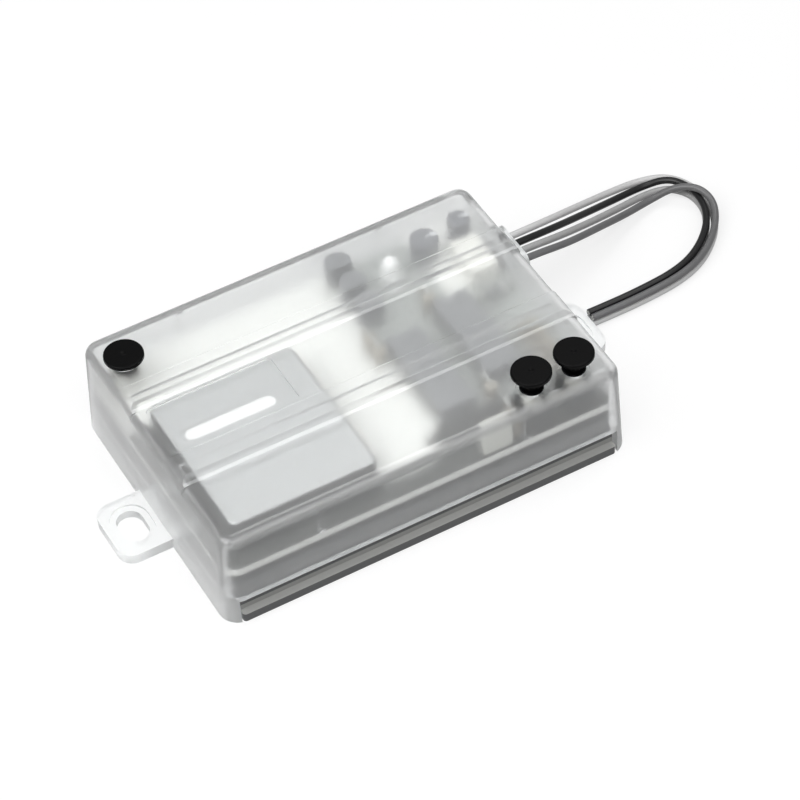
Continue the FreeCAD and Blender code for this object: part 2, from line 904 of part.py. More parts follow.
def through_pin(name, x, y, top, side):
    """A square pin from a level above the board down through its own hole."""
    half = size(side) / 2
    low = board_bottom - "solder_side_reach"
    board_holes.append((x, y, half * math.sqrt(2) + "pin_clearance"))
    return block(name, (as_size(x) - half, as_size(x) + half),
                 (as_size(y) - half, as_size(y) + half), (low, top))


def build_board():
    body = new_body("board_sheet")
    outline = new_sketch(body, "board_outline", "XY_Plane", board_bottom)
    draw_rounded_box(outline, (-board_x, board_x), (-board_y, board_y), "board_corner_radius")
    pad(body, "board_laminate", outline, "board_thickness")
    below = board_bottom - "board_thickness"
    above = board_top + "board_thickness"
    holes = []
    for number, (x, y, radius) in enumerate(board_holes):
        holes.append(rod(f"pin_hole_{number}", radius, x, y, (below, above)))
    for number, side in enumerate((-1, 1)):
        radius = size("peg_radius") + "peg_clearance"
        holes.append(rod(f"peg_hole_{number}", radius, peg_x * side, -peg_y * side, (below, above)))
    return cut("main_board", body, holes)


def build_can():
    """The tinned can, drawn from one sheet, with its long round-ended slot."""
    body = new_body("shield_can")
    outline = new_sketch(body, "can_outline", "XY_Plane", board_top)
    draw_rounded_box(
        outline, (can_left, can_right), (can_front, can_rear), "can_corner_radius"
    )
    drawn = pad(body, "can_block", outline, "can_height")
    level = can_top.value
    round_in_body(
        body, "can_edge", drawn, "can_edge_round", lambda edge: at_height(edge, level)
    )
    sheet_metal = size("can_sheet")
    room = new_sketch(body, "can_room_outline", "XY_Plane", can_top - sheet_metal)
    draw_rounded_box(
        room,
        (can_left + sheet_metal, can_right - sheet_metal),
        (can_front + sheet_metal, can_rear - sheet_metal),
        size("can_corner_radius") - sheet_metal,
    )
    pocket(body, "can_room", room, "can_height")
    slot = new_sketch(body, "can_slot_outline", "XY_Plane", can_top)
    half = size("can_slot_width") / 2
    draw_rounded_box(
        slot,
        (slot_left, slot_right),
        (slot_middle - half, slot_middle + half),
        half * ROUND_END,
    )
    pocket(body, "can_slot", slot, sheet_metal * 2)
    return body


def build_slot_window():
    """The strip of white film that is stuck under the can's top and closes its slot."""
    lap = size("window_lap")
    half = size("can_slot_width") / 2 + lap
    high = can_top - "can_sheet"
    return block(
        "slot_window",
        (slot_left - lap, slot_right + lap),
        (slot_middle - half, slot_middle + half),
        (high - "window_thickness", high),
    )


def build_puck():
    x, y = (corner + length for corner, length in zip((can_left, can_front), PUCK_IN_CAN))
    top = board_top + "puck_height"
    return rod("dielectric_resonator", "puck_radius", x, y, (board_top, top))


def build_oscillator():
    """The surface-mounted transistor beside the resonator puck, on four flat legs."""
    x, y = (corner + length for corner, length in zip((can_left, can_front), OSCILLATOR_IN_CAN))
    half_x = size("oscillator_body_length") / 2
    half_y = size("oscillator_body_width") / 2
    foot = size("chip_leg_sheet") / 2
    body = block(
        "oscillator_case",
        (x - half_x, x + half_x),
        (y - half_y, y + half_y),
        (board_top + foot, board_top + foot + "oscillator_body_height"),
    )
    legs = []
    reach = half_y + "oscillator_leg_reach"
    half_leg = size("chip_leg_width") / 2
    for number, (side_x, side_y) in enumerate(((-1, -1), (1, -1), (-1, 1), (1, 1))):
        middle = x + (half_x - half_leg) * side_x
        run = (y, y + reach) if side_y > 0 else (y - reach, y)
        legs.append(
            block(
                f"oscillator_leg_{number}",
                (middle - half_leg, middle + half_leg),
                run,
                (board_top, board_top + foot),
            )
        )
    return fuse("oscillator_transistor", [body] + legs)


def build_trimmer(name, spot):
    """A square trimmer with a round well for its rotor, and three pins."""
    x, y = spot
    half = size("trimmer_side") / 2
    top = board_top + "trimmer_height"
    well_floor = top + "rotor_proud" - "rotor_height" - "rotor_clearance"
    case = block(f"{name}_case", (x - half, x + half), (y - half, y + half), (board_top, top))
    above = top + "rotor_height"
    well = rod(
        f"{name}_well", size("rotor_radius") + "rotor_clearance", x, y, (well_floor, above)
    )
    bore_floor = well_floor - "spindle_length"
    bore = rod(
        f"{name}_bore", size("spindle_radius") + "rotor_clearance", x, y, (bore_floor, above)
    )
    hollowed = cut(f"{name}_housing", case, [well, bore])
    pins = []
    pitch = size("trimmer_pin_pitch")
    for number, (side_x, side_y) in enumerate(((-1, -1), (1, -1), (0, 1))):
        pin_x = x + pitch * side_x
        pin_y = y + pitch * side_y
        pin_top = board_top + size("spindle_radius")
        pins.append(through_pin(f"{name}_pin_{number}", pin_x, pin_y, pin_top, "led_lead_side"))
    return fuse(f"{name}_trimmer_body", [hollowed] + pins)


def build_rotor(name, spot):
    """The trimmer's rotor: a slotted disc on a short spindle."""
    x, y = spot
    top = board_top + "trimmer_height" + "rotor_proud"
    low = top - "rotor_height"
    disc = rod(f"{name}_disc", "rotor_radius", x, y, (low, top))
    spindle = rod(
        f"{name}_spindle", "spindle_radius", x, y, (low - "spindle_length", top - "rotor_slot_depth")
    )
    half = size("rotor_slot_width") / 2
    radius = size("rotor_radius")
    slot = block(
        f"{name}_rotor_slot",
        (x - half, x + half),
        (y - radius * 2, y + radius * 2),
        (top - "rotor_slot_depth", top + "rotor_proud"),
    )
    return cut(f"{name}_trimmer_rotor", fuse(f"{name}_rotor_form", [disc, spindle]), [slot])


def plug_depth_at(radius, high_radius, high_depth, low_radius, low_depth):
    """Depth under the head's top at which a cone of the plug has a given radius."""
    share = (as_size(high_radius) - radius) / (as_size(high_radius) - low_radius)
    return as_size(high_depth) + share * (as_size(low_depth) - high_depth)


def build_plug(name, spot, pressed_home):
    """A rubber plug, either pressed home or standing with its barb on the hole."""
    barb_low = size("plug_barb_top") + "plug_barb_edge"
    tip_depth = barb_low + "plug_barb_taper"
    body = turned(
        name,
        [
            (0.0, -size("plug_dimple_depth")),
            ("plug_dimple_radius", 0.0),
            ("plug_head_radius", 0.0),
            ("plug_head_radius", -size("plug_rim")),
            ("plug_cone_radius", -size("plug_rim")),
            ("plug_neck_radius", -size("plug_cone_depth")),
            ("plug_neck_radius", -size("plug_barb_top")),
            ("plug_barb_radius", -size("plug_barb_top")),
            ("plug_barb_radius", -barb_low),
            ("plug_tip_radius", -tip_depth),
            ("plug_tip_radius", -size("plug_length")),
            (0.0, -size("plug_length")),
        ],
    )
    rim = size("plug_head_radius").value
    round_in_body(
        body,
        name + "_edge",
        body.Tip,
        "plug_edge_round",
        lambda edge: at_height(edge, 0.0) and edge.BoundBox.XMax > rim - 1e-3,
    )
    if pressed_home:
        sunk = plug_depth_at(
            "hole_radius", "plug_cone_radius", "plug_rim", "plug_neck_radius", "plug_cone_depth"
        )
    else:
        sunk = plug_depth_at(
            "hole_radius", "plug_barb_radius", barb_low, "plug_tip_radius", tip_depth
        )
    place(body, spot[0], spot[1], hole_seat + sunk + "plug_seat_clearance")
    return body


def lane(number):
    """The place on Y of one lead and its pin in the header, from the rear."""
    return outlet_middle + size("lead_pitch") * ((len(LEAD_ROUTES) - 1) / 2 - number)


def build_header():
    """The header that the leads plug into, open on the board's right edge."""
    half = size("lead_pitch") * ((len(LEAD_ROUTES) - 1) / 2) + "header_wall"
    face = header_face
    top = board_top + "header_height"
    housing = block(
        "header_case",
        (face - "header_depth", face),
        (outlet_middle - half, outlet_middle + half),
        (board_top, top),
    )
    pin_x = face - "header_depth" + "header_pin_inset"
    sockets = []
    pins = []
    side = size("header_pin_side")
    for number in range(len(LEAD_ROUTES)):
        y = lane(number)
        arm_low = outlet_level - side / 2
        upright = through_pin(f"header_upright_{number}", pin_x, y, arm_low + side, side)
        arm = block(
            f"header_arm_{number}",
            (pin_x, face - side / 2),
            (y - side / 2, y + side / 2),
            (arm_low, arm_low + side),
        )
        pins.append(fuse(f"header_pin_{number}", [upright, arm]))
        sockets.append(
            block(
                f"header_shaft_{number}",
                (pin_x - side / 2, pin_x + side / 2),
                (y - side / 2, y + side / 2),
                (board_bottom, arm_low + side),
            )
        )
        sockets.append(
            block(
                f"header_run_{number}",
                (pin_x, face - side / 2),
                (y - side / 2, y + side / 2),
                (arm_low, arm_low + side),
            )
        )
    return cut("wire_header", housing, sockets), group("header_pins", pins)


def build_led():
    """A round indicator lamp with its flange and two legs."""
    x, y = from_rear(LED_FROM_REAR)
    seat = board_top + "led_standoff"
    radius = size("led_radius")
    tip = seat + "led_height"
    barrel = rod("led_barrel", radius, x, y, (seat, tip - radius))
    flange = rod("led_flange", "led_flange_radius", x, y, (seat, seat + "led_flange_height"))
    dome = document.addObject("Part::Sphere", "led_dome")
    bind(dome, "Radius", radius)
    place(dome, x, y, tip - radius)
    legs = []
    for number, side in enumerate((-1, 1)):
        leg_x = x + size("led_lead_pitch") / 2 * side
        leg_top = seat + size("led_flange_height") / 2
        legs.append(through_pin(f"led_leg_{number}", leg_x, y, leg_top, "led_lead_side"))
    return fuse("indicator_led", [barrel, flange, dome] + legs)


def build_chip(name, spot, leg_pairs):
    """A dual in-line chip that lies along Y, with a notch in its rear end."""
    x, y = spot
    half_x = size("chip_width") / 2
    pitch = size("chip_leg_pitch")
    half_y = pitch * ((leg_pairs - 1) / 2) + "chip_end_margin"
    low = board_top + "chip_standoff"
    high = low + "chip_height"
    case = block(f"{name}_case", (x - half_x, x + half_x), (y - half_y, y + half_y), (low, high))
    notch = rod(
        f"{name}_notch",
        "chip_notch_radius",
        x,
        y + half_y,
        (high - "chip_notch_depth", high + "chip_notch_depth"),
    )
    legs = []
    metal = size("chip_leg_sheet")
    middle = low + size("chip_height") / 2
    for side in (-1, 1):
        for number in range(leg_pairs):
            leg_y = y + pitch * (number - (leg_pairs - 1) / 2)
            row = x + size("chip_leg_row") / 2 * side
            tag = f"{name}_leg_{number}_{'left' if side < 0 else 'right'}"
            half_leg = size("chip_leg_width") / 2
            down = block(
                tag + "_down",
                (row - metal / 2, row + metal / 2),
                (leg_y - half_leg, leg_y + half_leg),
                (board_bottom - "solder_side_reach", middle),
            )
            inner = x + (half_x - metal) * side
            across = (inner, row + metal / 2) if side > 0 else (row - metal / 2, inner)
            shoulder = block(
                tag + "_out", across, (leg_y - half_leg, leg_y + half_leg), (middle - metal, middle)
            )
            legs += [down, shoulder]
            board_holes.append((row, leg_y, half_leg + "pin_clearance"))
    return fuse(name, [cut(f"{name}_moulding", case, [notch])] + legs)


def small_can(name, spot):
    """A small moulded three-legged case with one flat side, facing front."""
    x, y = spot
    seat = board_top + "small_can_standoff"
    top = seat + "small_can_height"
    radius = size("small_can_diameter") / 2
    drum = rod(f"{name}_drum", radius, x, y, (seat, top))
    flat = block(
        f"{name}_flat",
        (x - radius, x + radius),
        (y - radius * 2, y - size("small_can_flat")),
        (seat - radius, top + radius),
    )
    legs = []
    for number, side in enumerate((-1, 0, 1)):
        leg_x = x + size("small_can_lead_pitch") * side
        leg_top = seat + "small_can_lead_side"
        legs.append(
            through_pin(f"{name}_leg_{number}", leg_x, y, leg_top, "small_can_lead_side")
        )
    return fuse(name, [cut(f"{name}_moulding", drum, [flat])] + legs)


def build_electrolytic(name, spot, radius_word):
    """An electrolytic capacitor: a drawn can with its rolled groove, on two wires."""
    x, y = spot
    radius = size(radius_word)
    height = size("electrolytic_height")
    groove = size("electrolytic_groove")
    can = turned(
        f"{name}_can",
        [
            (0.0, 0.0),
            (radius - groove, 0.0),
            (radius, groove),
            (radius, groove * 3),
            (radius - groove, groove * 4),
            (radius, groove * 5),
            (radius, height - groove),
            (radius - groove, height),
            (0.0, height),
        ],
    )
    place(can, x, y, board_top)
    legs = []
    spread = radius * WIRE_SPREAD
    for number, side in enumerate((-1, 1)):
        leg_x = x + spread * side
        wire = size("electrolytic_lead_radius")
        low = board_bottom - "solder_side_reach"
        legs.append(rod(f"{name}_wire_{number}", wire, leg_x, y, (low, board_top + groove)))
        board_holes.append((leg_x, y, wire + "pin_clearance"))
    return fuse(name, [can] + legs)


def build_film_capacitor():
    """A boxed film capacitor standing on two wires behind the front wall."""
    x, y = from_front(FILM_FROM_FRONT)
    low = board_top + "film_standoff"
    high = low + "film_height"
    half_x = size("film_length") / 2
    half_y = size("film_width") / 2
    case = block("film_case", (x - half_x, x + half_x), (y - half_y, y + half_y), (low, high))
    level = low.value
    rounded = round_edges(
        "film_moulding", case, "film_round", lambda edge: not at_height(edge, level)
    )
    legs = []
    for number, side in enumerate((-1, 1)):
        leg_x = x + size("film_lead_pitch") / 2 * side
        leg_top = low + "film_standoff"
        legs.append(through_pin(f"film_leg_{number}", leg_x, y, leg_top, "led_lead_side"))
    return fuse("film_capacitor", [rounded] + legs)


def axial_part(name, x, y, kind="resistor"):
    """An axial part lying along X, its wires bent down into the board."""
    half = size(f"{kind}_length") / 2
    centre = board_top + f"{kind}_cap_radius" + "standing_gap"
    cap_length = size(f"{kind}_cap_length")
    pieces = []
    sections = (
        ("waist", f"{kind}_radius", -half, half),
        ("left_cap", f"{kind}_cap_radius", -half, cap_length - half),
        ("right_cap", f"{kind}_cap_radius", half - cap_length, half),
    )
    for word, radius, begin, end in sections:
        barrel = rod(f"{name}_{word}", radius, 0.0, 0.0, (0.0, as_size(end) - begin))
        barrel.Placement = FreeCAD.Placement(
            FreeCAD.Vector(), FreeCAD.Rotation(FreeCAD.Vector(0, 1, 0), 90)
        )
        place(barrel, x + as_size(begin), y, centre)
        pieces.append(barrel)
    wire = size(f"{kind}_lead_radius")
    span = size(f"{kind}_lead_span") / 2
    for word, side in (("left", -1), ("right", 1)):
        leg_x = x + span * side
        low = board_bottom - "solder_side_reach"
        down = block(
            f"{name}_{word}_down",
            (leg_x - wire, leg_x + wire),
            (y - wire, y + wire),
            (low, centre + wire),
        )
        across = (leg_x, x - half) if side < 0 else (x + half, leg_x)
        run = block(f"{name}_{word}_run", across, (y - wire, y + wire), (centre - wire, centre + wire))
        pieces += [down, run]
        board_holes.append((leg_x, y, wire * math.sqrt(2) + "pin_clearance"))
    return fuse(name, pieces)


def standing_part(name, x, y):
    """A small axial part standing on one end, its upper wire brought down in front."""
    low = board_top + "standing_gap"
    high = low + "resistor_length"
    pieces = [rod(f"{name}_waist", "resistor_radius", x, y, (low, high))]
    caps = (("foot_cap", low), ("head_cap", high - "resistor_cap_length"))
    for word, begin in caps:
        end = begin + "resistor_cap_length"
        pieces.append(rod(f"{name}_{word}", "resistor_cap_radius", x, y, (begin, end)))
    wire = size("resistor_lead_radius")
    bottom = board_bottom - "solder_side_reach"
    crown = high + "standing_gap"
    far_y = y + size("standing_span")
    uprights = (("near", as_size(y), crown), ("far", far_y, crown))
    for word, leg_y, top in uprights:
        pieces.append(
            block(
                f"{name}_{word}_wire",
                (x - wire, x + wire),
                (leg_y - wire, leg_y + wire),
                (bottom, top),
            )
        )
        board_holes.append((x, leg_y, wire * math.sqrt(2) + "pin_clearance"))
    pieces.append(
        block(
            f"{name}_crown",
            (x - wire, x + wire),
            (y - wire, far_y + wire),
            (crown - wire * 2, crown),
        )
    )
    return fuse(name, pieces)


# Leads

def lead(name):
    """A lead as straight runs joined by tangent arcs as large as the runs allow."""
    y = lane(list(LEAD_ROUTES).index(name))
    inside = (header_face, y, outlet_level)
    outside = (half_length + "lead_straight_run", y, outlet_level)
    beyond = [(half_length + x, outlet_middle + y, as_size(z)) for x, y, z in LEAD_ROUTES[name]]
    route = [
        FreeCAD.Vector(*(length.value for length in point))
        for point in [inside, outside] + beyond
    ]
    radius = size("lead_diameter").value / 2
    edges = []
    radii = []
    here = route[0]
    length = 0.0
    for before, corner, after in zip(route, route[1:], route[2:]):
        arriving = (corner - before).normalize()
        leaving = (after - corner).normalize()
        turn = arriving.getAngle(leaving)
        reach = BEND_SHARE * min((corner - before).Length, (after - corner).Length)
        bend = reach / math.tan(turn / 2)
        start = corner - arriving * reach
        end = corner + leaving * reach
        inward = (leaving - arriving).normalize()
        middle = corner + inward * (bend / math.cos(turn / 2) - bend)
        edges.append(Part.LineSegment(here, start).toShape())
        edges.append(Part.Arc(start, middle, end).toShape())
        length += (start - here).Length + bend * turn
        radii.append(bend)
        here = end
    edges.append(Part.LineSegment(here, route[-1]).toShape())
    length += (route[-1] - here).Length
    spine = Part.Wire(edges)
    direction = (route[1] - route[0]).normalize()
    profile = Part.Wire(Part.makeCircle(radius, route[0], direction))
    tube = spine.makePipeShell([profile], True, False)
    expected = math.pi * radius * radius * length
    print(
        f"{name}: {length:.1f} mm, radii {min(radii):.1f} to {max(radii):.0f} mm,"
        f" volume {tube.Volume:.1f} of {expected:.1f} mm3"
    )
    solid = document.addObject("Part::Feature", name)
    solid.Shape = tube
    return solid


# The nodes, in the order in which the sensor is put together

nodes = {}
nodes["shield_can"] = build_can()
nodes["slot_window"] = build_slot_window()
nodes["dielectric_resonator"] = build_puck()
nodes["oscillator_transistor"] = build_oscillator()
for zone, spot in (("factory", FACTORY), ("outer_zone", OUTER_ZONE), ("inner_zone", INNER_ZONE)):
    nodes[f"{zone}_trimmer_body"] = build_trimmer(zone, spot)
    nodes[f"{zone}_trimmer_rotor"] = build_rotor(zone, spot)
nodes["factory_hole_plug"] = build_plug("factory_hole_plug", FACTORY, True)
nodes["outer_zone_hole_plug"] = build_plug("outer_zone_hole_plug", OUTER_ZONE, False)
nodes["inner_zone_hole_plug"] = build_plug("inner_zone_hole_plug", INNER_ZONE, False)
nodes["wire_header"], nodes["header_pins"] = build_header()
nodes["indicator_led"] = build_led()
nodes["amplifier_chip"] = build_chip("amplifier_chip", from_end(AMPLIFIER_PLACE), 7)
nodes["controller_chip"] = build_chip("controller_chip", from_end(CONTROLLER_PLACE), 7)
nodes["voltage_regulator"] = small_can("voltage_regulator", from_rear(REGULATOR_FROM_REAR))
nodes["output_transistors"] = group(
    "output_transistors",
    [
        small_can("warning_transistor", from_rear(WARNING_TRANSISTOR_FROM_REAR)),
        small_can("alarm_transistor", from_rear(ALARM_TRANSISTOR_FROM_REAR)),
    ],
)
nodes["supply_capacitor"] = build_electrolytic(
    "supply_capacitor", from_rear(SUPPLY_FROM_REAR), "supply_radius"
)
nodes["timing_capacitor"] = build_electrolytic(
    "timing_capacitor", from_rear(TIMING_FROM_REAR), "timing_radius"
)
nodes["film_capacitor"] = build_film_capacitor()
nodes["supply_choke"] = axial_part("supply_choke", *from_front(CHOKE_FROM_FRONT), "choke")
row_x, row_y = from_end(FLAT_RESISTOR_PLACE)
nodes["flat_resistors"] = group(
    "flat_resistors",
    [
        axial_part(f"flat_resistor_{n}", row_x, row_y + size("resistor_pitch") * n)
        for n in range(FLAT_RESISTOR_COUNT)
    ],
)
standing_places = [
    (OUTER_ZONE[0] - x, OUTER_ZONE[1] + y) for x, y in RANGE_RESISTORS_FROM_OUTER_TRIMMER
] + [from_end(spot) for spot in STANDING_RESISTOR_PLACES]
nodes["standing_resistors"] = group(
    "standing_resistors",
    [standing_part(f"standing_resistor_{n}", *spot) for n, spot in enumerate(standing_places)],
)
nodes["reverse_diode"] = axial_part("reverse_diode", *from_end(DIODE_PLACE))
nodes["main_board"] = build_board()
nodes["base"] = build_base()
nodes["cover"] = build_cover()
for name in LEAD_ROUTES:
    nodes[name] = lead(name)

document.recompute()
for name, thing in nodes.items():
    thing.Label = name

failed = [
    thing.Name
    for thing in document.Objects
    if "Invalid" in thing.State or "Error" in thing.State
]
if failed:
    raise RuntimeError(f"failed objects: {failed}")
for name, thing in nodes.items():
    if thing.Shape.isNull() or not thing.Shape.isValid() or not thing.Shape.Solids:
        raise RuntimeError(f"bad shape: {name}")

os.makedirs("parts", exist_ok=True)
for name, thing in nodes.items():
    thing.Shape.exportStep(f"parts/{name}.step")
    print(f"{name}: {len(thing.Shape.Solids)} solids, {thing.Shape.Volume:.1f} mm3")
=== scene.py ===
import math

import bpy
from mathutils import Matrix, Vector


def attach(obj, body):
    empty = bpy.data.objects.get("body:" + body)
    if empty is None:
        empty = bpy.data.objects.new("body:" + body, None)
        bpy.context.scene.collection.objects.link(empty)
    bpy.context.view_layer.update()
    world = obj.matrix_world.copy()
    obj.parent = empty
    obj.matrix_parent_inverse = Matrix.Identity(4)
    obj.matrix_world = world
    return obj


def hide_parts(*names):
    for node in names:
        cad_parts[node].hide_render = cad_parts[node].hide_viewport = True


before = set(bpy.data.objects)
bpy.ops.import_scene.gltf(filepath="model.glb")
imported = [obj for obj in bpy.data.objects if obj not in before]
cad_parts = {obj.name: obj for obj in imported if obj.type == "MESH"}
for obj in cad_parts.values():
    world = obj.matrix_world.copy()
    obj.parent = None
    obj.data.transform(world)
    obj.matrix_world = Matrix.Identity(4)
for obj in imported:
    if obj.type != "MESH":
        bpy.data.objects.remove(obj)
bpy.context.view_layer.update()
MM = 0.001

# %% [markdown]
# Colours are given as on screen, so they are written as sRGB hex values. Cycles works
# with light itself, and so each one is turned to linear once, here. The second helper
# adds a node, sets its properties and fills or links its inputs in one call.
# %% Colour and node helpers


def linear(code):
    """Turn an sRGB hex colour into linear RGBA."""
    channels = [int(code[i:i + 2], 16) / 255 for i in (1, 3, 5)]
    return [
        c / 12.92 if c <= 0.04045 else ((c + 0.055) / 1.055) ** 2.4 for c in channels
    ] + [1.0]


def add_node(tree, kind, inputs=(), **settings):
    """Add a node with its settings, and fill or link its inputs."""
    node = tree.nodes.new(kind)
    for name, value in settings.items():
        setattr(node, name, value)
    for name, value in dict(inputs).items():
        if isinstance(value, bpy.types.NodeSocket):
            tree.links.new(value, node.inputs[name])
        else:
            node.inputs[name].default_value = value
    return node


# %% [markdown]
# The camera stands at the photograph's viewing angle. Its place, lens and shift were
# worked out from the straight edges of the cover: it looks down by about 48 degrees
# from the left front with a long lens, and it is turned a little about its own axis.
# Angles are in radians and the distance is in metres.
# %% Camera
AZIMUTH = -0.443273
ELEVATION = 0.833209
ROLL = -0.078833
DISTANCE = 0.5555
NEAR_CLIP = 0.05
PIXELS = 800
FOCAL_PIXELS = 3272.0
SHIFT_PIXELS = (45.25, 31.38)

scene = bpy.context.scene
back = Vector((
    math.sin(AZIMUTH) * math.cos(ELEVATION),
    -math.cos(AZIMUTH) * math.cos(ELEVATION),
    math.sin(ELEVATION),
))
level_right = Vector((math.cos(AZIMUTH), math.sin(AZIMUTH), 0.0))
level_up = back.cross(level_right)
right = level_right * math.cos(ROLL) + level_up * math.sin(ROLL)
up = level_up * math.cos(ROLL) - level_right * math.sin(ROLL)
camera_data = bpy.data.cameras.new("camera")
camera_data.lens = FOCAL_PIXELS * camera_data.sensor_width / PIXELS
camera_data.shift_x = SHIFT_PIXELS[0] / PIXELS
camera_data.shift_y = SHIFT_PIXELS[1] / PIXELS
camera_data.clip_start = NEAR_CLIP
camera = bpy.data.objects.new("camera", camera_data)
turned = Matrix((right, up, back)).transposed().to_4x4()
camera.matrix_world = Matrix.Translation(back * DISTANCE) @ turned
scene.collection.objects.link(camera)
scene.camera = camera
print("lens", round(camera_data.lens, 1), "mm")

# %% [markdown]
# The mix node has one set of sockets for numbers and one for colours under the same
# names, so the colour sockets are asked for by their place in the list.
# %% Colour mixing


def blend_colours(tree, factor, first, second):
    """Mix two colours, each a hex value or a socket, and return the result's socket."""
    node = add_node(tree, "ShaderNodeMix", data_type="RGBA")
    for number, value in ((0, factor), (6, first), (7, second)):
        if isinstance(value, bpy.types.NodeSocket):
            tree.links.new(value, node.inputs[number])
        elif isinstance(value, str):
            node.inputs[number].default_value = linear(value)
        else:
            node.inputs[number].default_value = value
    return node.outputs[2]


# %% [markdown]
# The studio is white. To the camera the world behind the floor is white by its own
# colour, so the lamps need no more than a plain level. To every other ray it is grey,
# a soft light from all round that leaves walls in the shade grey.
# %% World
scene.view_settings.view_transform = "Standard"
WHITE = linear("#FFFFFF")
WORLD_LEVEL = 0.36


def ray_is(tree, kind):
    """One where a ray of the kind arrives, else zero."""
    return add_node(tree, "ShaderNodeLightPath").outputs[f"Is {kind} Ray"]


world = bpy.data.worlds.new("studio")
scene.world = world
world.use_nodes = True
sky = world.node_tree
sky.nodes.clear()
lit = add_node(sky, "ShaderNodeBackground", {"Color": WHITE, "Strength": WORLD_LEVEL})
seen = add_node(sky, "ShaderNodeBackground", {"Color": WHITE, "Strength": 1.0})
backdrop = add_node(
    sky, "ShaderNodeMixShader", {0: ray_is(sky, "Camera"), 1: lit.outputs[0], 2: seen.outputs[0]}
)
add_node(sky, "ShaderNodeOutputWorld", {"Surface": backdrop.outputs[0]})
print("world at", WORLD_LEVEL, "of white")

# %% [markdown]
# The floor is one wide square sheet, a hair under the object so that the two never
# share a plane.
# %% Floor sheet
FLOOR_SIZE = 6.0
FLOOR_DROP = 0.05 * MM
half = FLOOR_SIZE / 2
sweep = bpy.data.meshes.new("floor")
sweep.from_pydata(
    [(-half, -half, -FLOOR_DROP), (half, -half, -FLOOR_DROP),
     (half, half, -FLOOR_DROP), (-half, half, -FLOOR_DROP)],
    [], [(0, 1, 2, 3)],
)
floor = bpy.data.objects.new("floor", sweep)
scene.collection.objects.link(floor)
print("floor", FLOOR_SIZE, "m square")

# %% [markdown]
# The sheet is matt white paper, mixed with a plain white glow. The camera sees mostly
# the glow, and enough of the paper as the lamps light it to keep the object's shadow.
# Seen through clear plastic the floor is nearly all glow, and what glossy surfaces
# mirror of it is in between, or the walls would look lit from below. For the same
# reason the light that the floor throws back on everything is that of grey paper.
# %% Floor paper
FLOOR_IN_VIEW = 0.7
FLOOR_THROUGH = 0.95
FLOOR_MIRRORED = 0.42
PAPER_THROWN = "#A8A8A8"
PAPER_SEEN = "#F6F6F6"
paper = bpy.data.materials.new("matt_white_paper")
paper.use_nodes = True
tree = paper.node_tree
tree.nodes.clear()
in_view = ray_is(tree, "Camera")
matt = add_node(
    tree, "ShaderNodeBsdfPrincipled",
    {"Base Color": blend_colours(tree, in_view, PAPER_THROWN, PAPER_SEEN), "Roughness": 0.9}
)
glow = add_node(tree, "ShaderNodeEmission", {"Color": WHITE, "Strength": 1.0})
direct = add_node(tree, "ShaderNodeMath", {0: in_view, 1: FLOOR_IN_VIEW}, operation="MULTIPLY")
behind = add_node(
    tree, "ShaderNodeMath",
    {0: ray_is(tree, "Transmission"), 1: FLOOR_THROUGH, 2: direct.outputs[0]},
    operation="MULTIPLY_ADD"
)
share = add_node(
    tree, "ShaderNodeMath",
    {0: ray_is(tree, "Glossy"), 1: FLOOR_MIRRORED, 2: behind.outputs[0]},
    operation="MULTIPLY_ADD"
)
mixed = add_node(
    tree, "ShaderNodeMixShader", {0: share.outputs[0], 1: matt.outputs[0], 2: glow.outputs[0]}
)
add_node(tree, "ShaderNodeOutputMaterial", {"Surface": mixed.outputs[0]})
sweep.materials.append(paper)
print("glow", FLOOR_IN_VIEW, "in view,", FLOOR_THROUGH, "through,", FLOOR_MIRRORED, "mirrored")

# %% [markdown]
# Three soft square lamps light the object. A large one at the left lights the roof and
# the left wall, a large one in front lights the front wall and its rim, and a small one
# high at the rear right stands where the ridges' rounded edges mirror it as thin bright
# lines. Each has its place and its side in metres and its power in watts, and faces the
# object.
# %% Lamps
LAMPS = {
    "front_lamp": ((0.18, -0.50, 0.73), 0.80, 2.6),
    "left_lamp": ((-0.50, -0.10, 0.70), 0.70, 5.1),
    "top_lamp": ((0.245, 0.244, 0.771), 0.30, 1.1),
}
for name, (spot, side, watts) in LAMPS.items():
    lamp = bpy.data.lights.new(name, "AREA")
    lamp.size = side
    lamp.energy = watts
    holder = bpy.data.objects.new(name, lamp)
    holder.location = spot
    holder.rotation_euler = Vector(spot).to_track_quat("Z", "Y").to_euler()
    scene.collection.objects.link(holder)
print("lamps", ", ".join(f"{name} {values[2]} W" for name, values in LAMPS.items()))

# %% [markdown]
# Most surfaces here are a plain stuff with a fine grain: its colour, gloss and height
# vary a little at one scale. This helper lays that ground, a noise on Object
# coordinates, and hands back what each material then builds on. Grain and height are
# in millimetres, and rough is the lowest and the highest roughness.
# %% The ground of a material


